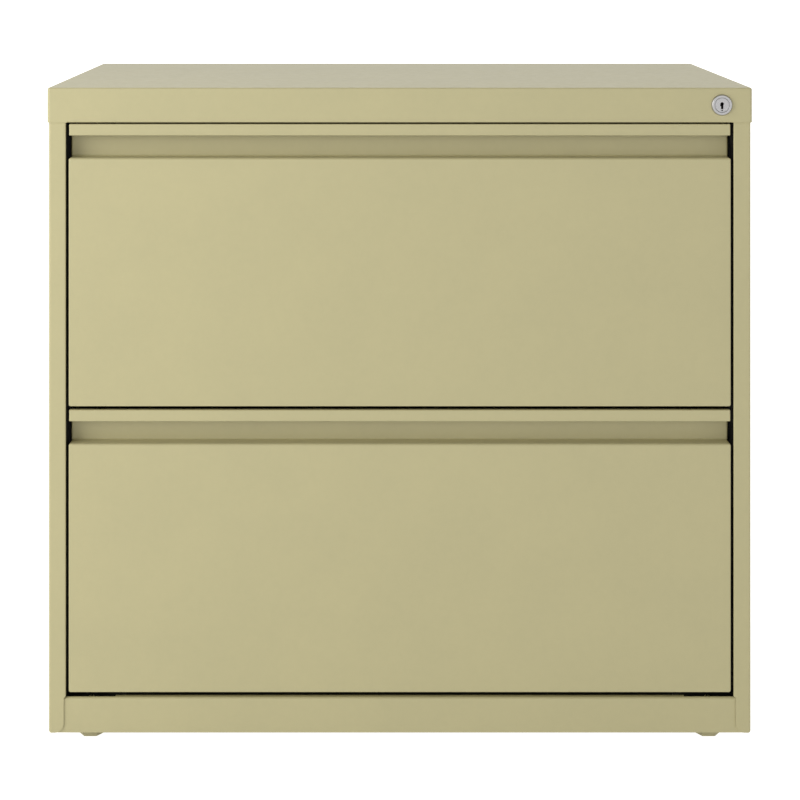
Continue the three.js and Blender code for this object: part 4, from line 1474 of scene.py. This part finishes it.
@dataclass
class Drawer:
    """One full-width drawer. Its row is "lower" or "upper".

    The profile of a rivet's head is in millimetres.
    """

    row: str
    sheet: float = 0.9 * MM
    panel_height: float = 268.6 * MM
    pull_opening: float = 24.2 * MM
    pull_depth: float = 22.5 * MM
    pull_end: float = 5.0 * MM
    pull_end_bend: float = 1.1 * MM
    pull_gap: float = 1.6 * MM
    skirt: float = 20.0 * MM
    lip_corner: float = 0.9 * MM
    lip_edge: float = 1.15 * MM
    lip_return: float = 5.0 * MM
    lip_shelf: float = 6.5 * MM
    roof_drop: float = 4.0 * MM
    inset: float = 0.5 * MM
    corner: float = 2.2 * MM
    edge: float = 1.3 * MM
    ledge_bend: float = 2.8 * MM
    inner_bend: float = 3.0 * MM
    bend: float = 0.9 * MM
    shear: float = 0.12 * MM
    side_foot: float = 15.0 * MM
    hem: Point = (12.0 * MM, 10.0 * MM)
    catch_depth: float = 3.0 * MM
    rivets: int = 4
    rivet_first: float = -0.160
    rivet_pitch: float = 0.110
    rivet_head: tuple[Point, ...] = (
        (0.2, 1.3), (1.2, 1.25), (2.2, 0.95), (2.9, 0.45), (3.2, -0.1), (0.2, -0.1))
    rail_bend: float = 1.0 * MM
    rail_fold: float = 5.0 * MM
    rail_tip: float = 11.25 * MM
    body: str = field(init=False)

    def __post_init__(self) -> None:
        """Names the body that the drawer's pieces ride on."""
        self.body = f"{self.row}_drawer"

    def build(self) -> None:
        """Builds and dresses every piece of the drawer."""
        self.front()
        self.tray("liner", Run.Z)
        self.tray("bottom", Run.Y)
        self.tray("back", Run.Z)
        for name, side in SIDES.items():
            self.side(name, side)
        for place in ("front", "rear"):
            self.hang_rail(place)

    def front(self) -> None:
        """The front: a pan, the recessed pull above it, and the pull's hooked lip."""
        box = Box.of(f"{self.row}_drawer_front")
        low, high = box.low, box.high
        half = self.sheet / 2
        shelf = low.z + self.panel_height
        pan = Tray((low.x, low.z), (high.x, shelf), self.skirt - self.ledge_bend, self.corner,
                   self.edge, self.sheet, border=self.ledge_bend)

        def eased(u: float, v: float, w: float) -> Vector:
            """Places a point of the panel, whose top edge is rounder than the other three.

            Args:
                u: Across the panel.
                v: Up the panel.
                w: How far behind the face.

            Returns:
                The point.
            """
            inset = shelf - v
            ease = self.fall(inset, self.ledge_bend) - self.fall(inset, self.edge)
            return Vector((u, low.y + w + max(ease, 0.0), v))

        panel = pan.make(f"{self.row}_panel", eased)
        mount(soften(panel, self.shear), self.body, PUTTY, f"{self.row}_drawer_front")

        left, right = low.x + self.inset, high.x - self.inset
        lip_low = shelf + self.pull_opening
        hook = Tray((left, lip_low), (right, high.z), self.lip_return, self.lip_corner,
                    self.lip_edge, self.sheet)
        lip = hook.make(f"{self.row}_lip", lambda u, v, w: Vector((u, low.y + w, v)))
        mount(soften(lip, self.shear), self.body, PUTTY)

        wall = low.y + self.pull_depth + half
        turn = self.pull_gap
        step = low.y + half + self.lip_shelf
        roof = high.z - half - self.roof_drop
        pull = Strip([
            Corner(low.y + self.skirt - self.edge, shelf - half),
            Corner(wall, shelf - half, self.inner_bend),
            Corner(wall, roof), Corner(step, roof), Corner(step, high.z - half),
            Corner(low.y + self.lip_return, high.z - half),
        ], self.sheet, Run.X, (low.x + turn, high.x - turn), bend=self.bend)
        mount(soften(pull.make(f"{self.row}_pull"), self.shear), self.body, PUTTY)
        for name, side in SIDES.items():
            end = low.x if side < 0 else high.x
            fold = Strip([Corner(end - side * turn, wall),
                          Corner(end - side * half, wall, self.pull_end_bend),
                          Corner(end - side * half, wall + self.pull_end)], self.sheet, Run.Z,
                         (shelf - half, roof - turn)).make(f"{self.row}_pull_end_{name}")
            mount(soften(fold, self.shear), self.body, PUTTY)

    @staticmethod
    def fall(inset: float, radius: float) -> float:
        """How far a bend has fallen back from the face at an inset from its edge."""
        rest = max(radius - inset, 0.0)
        return radius - math.sqrt(max(radius * radius - rest * rest, 0.0))

    def tray(self, part: str, run: Run) -> None:
        """A panel with a flange at each end.

        Args:
            part: "liner", "bottom" or "back".
            run: The axis that its section is run out along.
        """
        node = f"{self.row}_drawer_{part}"
        low, high = Box.of(node).low, Box.of(node).high
        half = self.sheet / 2
        left, right = low.x + half, high.x - half
        if run is Run.Z:
            ends, wall, span = low.y, high.y - half, (low.z, high.z)
        else:
            ends, wall, span = high.z, low.z + half, (low.y, high.y)
        section = [Corner(left, ends), Corner(left, wall), Corner(right, wall),
                   Corner(right, ends)]
        piece = Strip(section, self.sheet, run, span).make(f"{self.row}_{part}")
        mount(soften(piece, self.shear), self.body, PUTTY, node)

    def side(self, name: str, side: int) -> None:
        """A drawer side, flanged at the bottom and hemmed at the top. The right has the catch.

        Args:
            name: The side's name.
            side: The side's sign.
        """
        outer = -Box.of(f"{self.row}_drawer_side_left").low.x
        node = f"{self.row}_drawer_side_{name}"
        low, high = Box.of(node).low, Box.of(node).high
        half = self.sheet / 2
        wall = side * (outer - half)
        bottom, top = low.z + half, high.z - half
        hem = wall - side * self.hem[0]
        section = [Corner(wall - side * self.side_foot, bottom), Corner(wall, bottom),
                   Corner(wall, top), Corner(hem, top), Corner(hem, top - self.hem[1])]
        piece = Strip(section, self.sheet, Run.Y, (low.y, high.y)).make(f"{self.row}_side_{name}")
        if side > 0:
            near = Box.of("lock_bar").high.y + OVER
            level = Box.of(f"{self.row}_drawer_front").low.z + CATCH_HEIGHT
            carve(piece, Join.WELD, block(
                "catch", (outer - half, near, level - CATCH_HALF),
                (high.x, near + self.catch_depth, level + CATCH_HALF)))
        mount(soften(piece, self.shear), self.body, PUTTY, node)
        level = Box.of(f"{self.row}_slide_drawer_{name}").middle.z
        face = wall - side * half
        head = [(radius * MM, face - side * rise * MM) for radius, rise in self.rivet_head]
        for k in range(self.rivets):
            centre = Vector((0, self.rivet_first + self.rivet_pitch * k, level))
            rivet = turned(f"{self.row}_rivet_{name}_{k}", head, centre, Run.X, 24,
                           endless=False)
            rivet.data.shade_smooth()
            mount(rivet, self.body, BRIGHT_ZINC)

    def hang_rail(self, place: str) -> None:
        """A hang rail for folders, its ends laid over the hems of the sides.

        Args:
            place: Whether it is the "front" or the "rear" one.
        """
        node = f"{self.row}_hang_rail_{place}"
        low, high = Box.of(node).low, Box.of(node).high
        half = self.sheet / 2
        top = high.z - half
        rail = Strip([
            Corner(low.y + half, low.z), Corner(low.y + half, top), Corner(high.y - half, top),
            Corner(high.y - half, top - self.rail_fold),
        ], self.sheet, Run.X, (low.x, high.x), self.rail_bend).make(f"{self.row}_rail_{place}")
        tips = [block("tip", (side * (high.x - self.rail_tip), low.y - 5 * OVER, low.z - OVER),
                      (side * (high.x + OVER), high.y + 5 * OVER, high.z - self.sheet))
                for side in SIDES.values()]
        carve(rail, Join.CUT, *tips)
        mount(soften(rail, self.shear), self.body, PUTTY, node)


# ---- Slides --------------------------------------------------------------------------------


@dataclass(frozen=True)
class Cage:
    """A ball cage of a slide, in millimetres but for its span.

    Args:
        title: Which of the two cages it is.
        plate: How far in from the post its plate is.
        reach: How far in its flanges reach.
        height: How far above and below the middle the balls' rows are.
        away: How far in the balls are.
        span: Where the cage starts and ends, front to back, in metres.
    """

    title: str
    plate: float
    reach: float
    height: float
    away: float
    span: Point


@dataclass
class Slides:
    """The ball-bearing slides of one row.

    Sections are drawn as distance in from the post and height over the slide's middle, with
    the bend where it has one, all in millimetres.
    """

    row: str
    gauge: float = 1.2 * MM
    cabinet_section: tuple[Fold, ...] = ((9.2, 17.8, None), (9.2, 22.2, 2.9), (0.6, 22.2, 1.2))
    middle_section: tuple[Fold, ...] = (
        (10.4, 12.2, None), (10.4, 16.2, 2.6), (3.2, 16.2, 1.2))
    drawer_section: tuple[Fold, ...] = ((5.4, 10.2, None), (11.8, 10.2, 1.2))
    cages: tuple[Cage, ...] = (
        Cage("outer", 1.9, 3.7, 19.2, 5.6, (0.024, 0.200)),
        Cage("inner", 4.5, 5.4, 13.2, 7.3, (-0.190, -0.014)))
    cage_sheet: float = 0.5 * MM
    cage_bend: float = 0.45
    post_gap: float = 0.3 * MM
    lug_set: float = 14.5 * MM
    lug_sheet: float = 3.0 * MM
    lug_half: float = 5.0 * MM
    lug_root: float = 3.5 * MM
    ball: float = 2.1 * MM
    balls: int = 8

    def build(self) -> None:
        """Builds the three members of each slide, and the balls between them."""
        for name, side in SIDES.items():
            self.member("cabinet", "cabinet", name, side, self.cabinet_section)
            self.member("middle", f"{self.row}_slide_{name}", name, side, self.middle_section)
            self.member("drawer", f"{self.row}_drawer", name, side, self.drawer_section)
            for cage in self.cages:
                self.cage(cage, name, side)

    def seat(self, name: str) -> Point:
        """Where a slide sits.

        Args:
            name: The side's name.

        Returns:
            How far out its back is, and how high its middle.
        """
        face = Box.of(f"post_front_{name}")
        back = min(abs(face.low.x), abs(face.high.x)) - self.post_gap
        return back, Box.of(f"{self.row}_slide_cabinet_{name}").middle.z

    def strip(self, title: str, name: str, side: int, half_section: Sequence[Fold],
              sheet: float, span: Point) -> bpy.types.Object:
        """A channel from the upper half of its section.

        Args:
            title: What the channel is.
            name: The side's name.
            side: The side's sign.
            half_section: The upper half, from its edge to its last corner.
            sheet: The thickness.
            span: Where the channel starts and ends, front to back.

        Returns:
            The new object.
        """
        back, level = self.seat(name)
        whole = [*half_section, *((out, -up, bend) for out, up, bend in reversed(half_section))]
        corners = [Corner(side * (back - out * MM), level + up * MM, bend and bend * MM)
                   for out, up, bend in whole]
        return Strip(corners, sheet, Run.Y, span).make(f"{self.row}_{title}_{name}")

    def member(self, part: str, body: str, name: str, side: int,
               half_section: Sequence[Fold]) -> None:
        """One member of a slide. The cabinet member's lugs enter the slots of the posts.

        Args:
            part: "cabinet", "middle" or "drawer".
            body: The body that it rides on.
            name: The side's name.
            side: The side's sign.
            half_section: The upper half of its section.
        """
        node = f"{self.row}_slide_{part}_{name}"
        box = Box.of(node)
        piece = self.strip(f"{part}_member", name, side, half_section, self.gauge,
                           (box.low.y, box.high.y))
        if part == "cabinet":
            outer = max(abs(box.low.x), abs(box.high.x))
            middle = box.middle.z
            for row in ("front", "rear"):
                slot = Box.of(f"post_{row}_{name}").high.y - self.lug_set
                carve(piece, Join.WELD, block(
                    "lug", (side * (outer - self.lug_root), slot, middle - self.lug_half),
                    (side * outer, slot + self.lug_sheet, middle + self.lug_half)))
        mount(soften(piece, edge=0.1 * MM), body, BRIGHT_ZINC, node)

    def cage(self, cage: Cage, name: str, side: int) -> None:
        """A ball cage and its balls, which ride on the middle member.

        Args:
            cage: Which cage.
            name: The side's name.
            side: The side's sign.
        """
        body = f"{self.row}_slide_{name}"
        section = ((cage.reach, cage.height, None), (cage.plate, cage.height, self.cage_bend))
        piece = self.strip(f"{cage.title}_cage", name, side, section, self.cage_sheet, cage.span)
        mount(soften(piece, edge=0.05 * MM), body, BRIGHT_ZINC)
        back, level = self.seat(name)
        shape = bmesh.new()
        start, end = cage.span
        for k in range(self.balls):
            along = start + (end - start) * (k + 0.5) / self.balls
            for up in (-cage.height, cage.height):
                centre = Vector((side * (back - cage.away * MM), along, level + up * MM))
                bmesh.ops.create_uvsphere(shape, u_segments=16, v_segments=10,
                                          radius=self.ball, matrix=Matrix.Translation(centre))
        balls = as_object(f"{self.row}_{cage.title}_balls_{name}", shape)
        balls.data.shade_smooth()
        mount(balls, body, BRIGHT_ZINC)


# ---- Studio --------------------------------------------------------------------------------


@dataclass(frozen=True)
class StudioPaper(Finish):
    """The pale floor, a diffusing table that is lit from below as well as above.

    Args:
        hidden: Its colour where the cabinet stands.
        glow: How strongly it is lit from below, as a light.
        backdrop: How strongly it is lit from below, as it is seen.
        covered: Across and front to back, how far in from the cabinet's outline the dark place
            begins and how far in it is full.
    """

    name: str = "Studio paper"
    slot: str = ""
    colour: Colour = (0.5, 0.5, 0.5)
    hidden: Colour = (0.02, 0.02, 0.02)
    glow: float = 0.46
    backdrop: float = 1.0
    covered: tuple[Point, Point] = ((2 * MM, 20 * MM), (45 * MM, 75 * MM))
    roughness: float = 0.9
    tooth: Point = (900.0, 3.0)
    darker: float = 0.985

    def shade(self, work: Sheetwork, shader: bpy.types.Node,
              position: bpy.types.NodeSocket) -> None:
        """A barely visible tooth on an even white, dark where the cabinet stands on it.

        Args:
            work: The material's builder.
            shader: The material's shader.
            position: Where on the object a point is, in metres.
        """
        shader.inputs["Roughness"].default_value = self.roughness
        place = work.add("ShaderNodeSeparateXYZ", {0: position})
        middle = (CAD_BOX[0] + CAD_BOX[1]) / 2
        reach = (CAD_BOX[1] - CAD_BOX[0]) / 2
        shares = []
        for axis, (edge, dark) in enumerate(self.covered):
            away = work.maths("ABSOLUTE", work.maths("SUBTRACT", place.outputs[axis],
                                                     middle[axis]))
            shares.append(work.spread(away, reach[axis] - dark, reach[axis] - edge))
        bare = work.maths("MAXIMUM", *shares)
        tooth = work.noise(position, *self.tooth)
        groove = tuple(self.darker * value for value in self.colour)
        paper = work.blend(tooth, (*self.colour, 1.0), (*groove, 1.0))
        work.tree.links.new(work.blend(bare, (*self.hidden, 1.0), paper),
                            shader.inputs["Base Color"])
        seen = work.add("ShaderNodeLightPath").outputs["Is Camera Ray"]
        level = work.spread(seen, 0.0, 1.0, self.glow, self.backdrop)
        lit = work.maths("MULTIPLY", bare, level)
        glow = work.add("ShaderNodeCombineColor", {0: lit, 1: lit, 2: lit})
        work.tree.links.new(glow.outputs[0], shader.inputs["Emission Color"])
        shader.inputs["Emission Strength"].default_value = 1.0


@dataclass
class Studio:
    """Floor, light and camera.

    Args:
        distance: From the camera to the cap's front face.
        height: The camera's height above the floor.
        aside: The camera's place across the cabinet.
        slope: How far the view's middle ray runs right and up in one metre forward.
        lens: Focal length of the camera, in millimetres.
        front: Stops of the surroundings' light in front, from the horizon to the zenith.
        behind: The same behind the cabinet.
        merge: How far to either side front and behind run into each other.
        backdrop: How bright the surroundings look.
        lean: How much brighter the left is than the right.
        key: The soft box's power, in watts.
        box_size: The soft box's width and height.
        box_place: The soft box's place: across, before the cabinet's front, and up.
        box_aim: How high on the cabinet's front the soft box points.
        reach: The floor's radius.
    """

    distance: float = 2.390
    height: float = 0.8694
    aside: float = -0.0172
    slope: Point = (0.00732, -0.20746)
    lens: float = 101.66
    front: tuple[Point, ...] = ((0.0, 1.47), (0.2, 1.47), (0.38, 0.7), (0.7, 0.0), (1.0, 0.52))
    behind: tuple[Point, ...] = ((0.0, 0.6), (0.5, 1.38), (1.0, 0.52))
    merge: float = 0.08
    backdrop: float = 1.05
    lean: float = 0.13
    key: float = 13.7
    box_size: Point = (0.9, 1.5)
    box_place: tuple[float, float, float] = (-1.3, 0.85, 1.05)
    box_aim: float = 0.4
    reach: float = 60.0

    def build(self) -> None:
        """Sets up the floor, the surroundings, the lights and the camera."""
        self.floor()
        self.surroundings()
        self.lights()
        self.camera()
        view = bpy.context.scene.view_settings
        view.view_transform = "Standard"
        view.look = "None"

    def floor(self) -> None:
        """A wide, pale floor."""
        shape = bmesh.new()
        corners = [shape.verts.new((x, y, 0.0)) for x, y in circle(self.reach, 48)]
        shape.faces.new(corners)
        piece = as_object("studio_floor", shape)
        piece.data.materials.append(StudioPaper().material())

    def surroundings(self) -> None:
        """White surroundings, dimmer as a light than as a backdrop."""
        world = bpy.data.worlds.new("Studio")
        world.use_nodes = True
        world.node_tree.nodes.clear()
        work = Sheetwork(world.node_tree)
        seen = work.add("ShaderNodeLightPath").outputs["Is Camera Ray"]
        heading = work.add("ShaderNodeSeparateXYZ", {
            0: work.add("ShaderNodeTexCoord").outputs["Generated"]})
        front = work.ramp(heading.outputs[2], self.front)
        behind = work.ramp(heading.outputs[2], self.behind)
        far = work.spread(heading.outputs[1], -self.merge, self.merge)
        rise = work.add("ShaderNodeMix", {0: far, 2: front, 3: behind}).outputs[0]
        sideways = work.maths("MULTIPLY", heading.outputs[0], -self.lean)
        strength = work.add("ShaderNodeMix", {0: seen, 2: work.maths("ADD", rise, sideways),
                                              3: self.backdrop}).outputs[0]
        light = work.add("ShaderNodeBackground", {"Color": (1.0, 1.0, 1.0, 1.0),
                                                  "Strength": strength})
        out = work.add("ShaderNodeOutputWorld")
        work.tree.links.new(light.outputs[0], out.inputs[0])
        bpy.context.scene.world = world

    def lights(self) -> None:
        """A soft box close by on the front left, a little above the cabinet."""
        box = bpy.data.lights.new("soft_box", "AREA")
        box.shape = "RECTANGLE"
        box.size, box.size_y = self.box_size
        box.energy = self.key
        lamp = bpy.data.objects.new("soft_box", box)
        across, before, up = self.box_place
        lamp.location = (across, CAP_FRONT - before, up)
        aim = Vector((0.0, CAP_FRONT, self.box_aim)) - lamp.location
        lamp.rotation_euler = aim.to_track_quat("-Z", "Y").to_euler()
        lamp.visible_camera = False
        bpy.context.scene.collection.objects.link(lamp)

    def camera(self) -> None:
        """A level camera in front, above the cap, that looks down without tilting.

        The view is square to the cabinet's front, as in a view camera with its lens raised:
        the optical axis slopes, while the picture stays upright. The slope is put in the
        camera's place on its mounting, so that other views of the scene are unaffected.
        """
        scene = bpy.context.scene
        axis = Vector((self.slope[0], 1.0, self.slope[1])).normalized()
        place = Vector((self.aside, CAP_FRONT - self.distance, self.height))
        slant = Matrix((
            (1.0, 0.0, -axis.x, place.x),
            (0.0, 0.0, -axis.y, place.y),
            (0.0, 1.0, -axis.z, place.z),
            (0.0, 0.0, 0.0, 1.0),
        ))
        mounting = bpy.data.objects.new("camera_mounting", None)
        scene.collection.objects.link(mounting)
        eye = bpy.data.cameras.new("camera")
        eye.sensor_width = 36.0
        eye.lens = self.lens
        eye.clip_end = 200.0
        camera = bpy.data.objects.new("camera", eye)
        scene.collection.objects.link(camera)
        camera.parent = mounting
        camera.matrix_parent_inverse = slant
        scene.camera = camera


def main() -> None:
    """Builds the scene, one sub-assembly after another."""
    logging.basicConfig(level=logging.INFO, format="%(message)s")
    Studio().build()
    Casing().build()
    Base().build()
    Lock().build()
    for row in ROWS:
        Drawer(row).build()
        Slides(row).build()


if __name__ == "__main__":
    main()
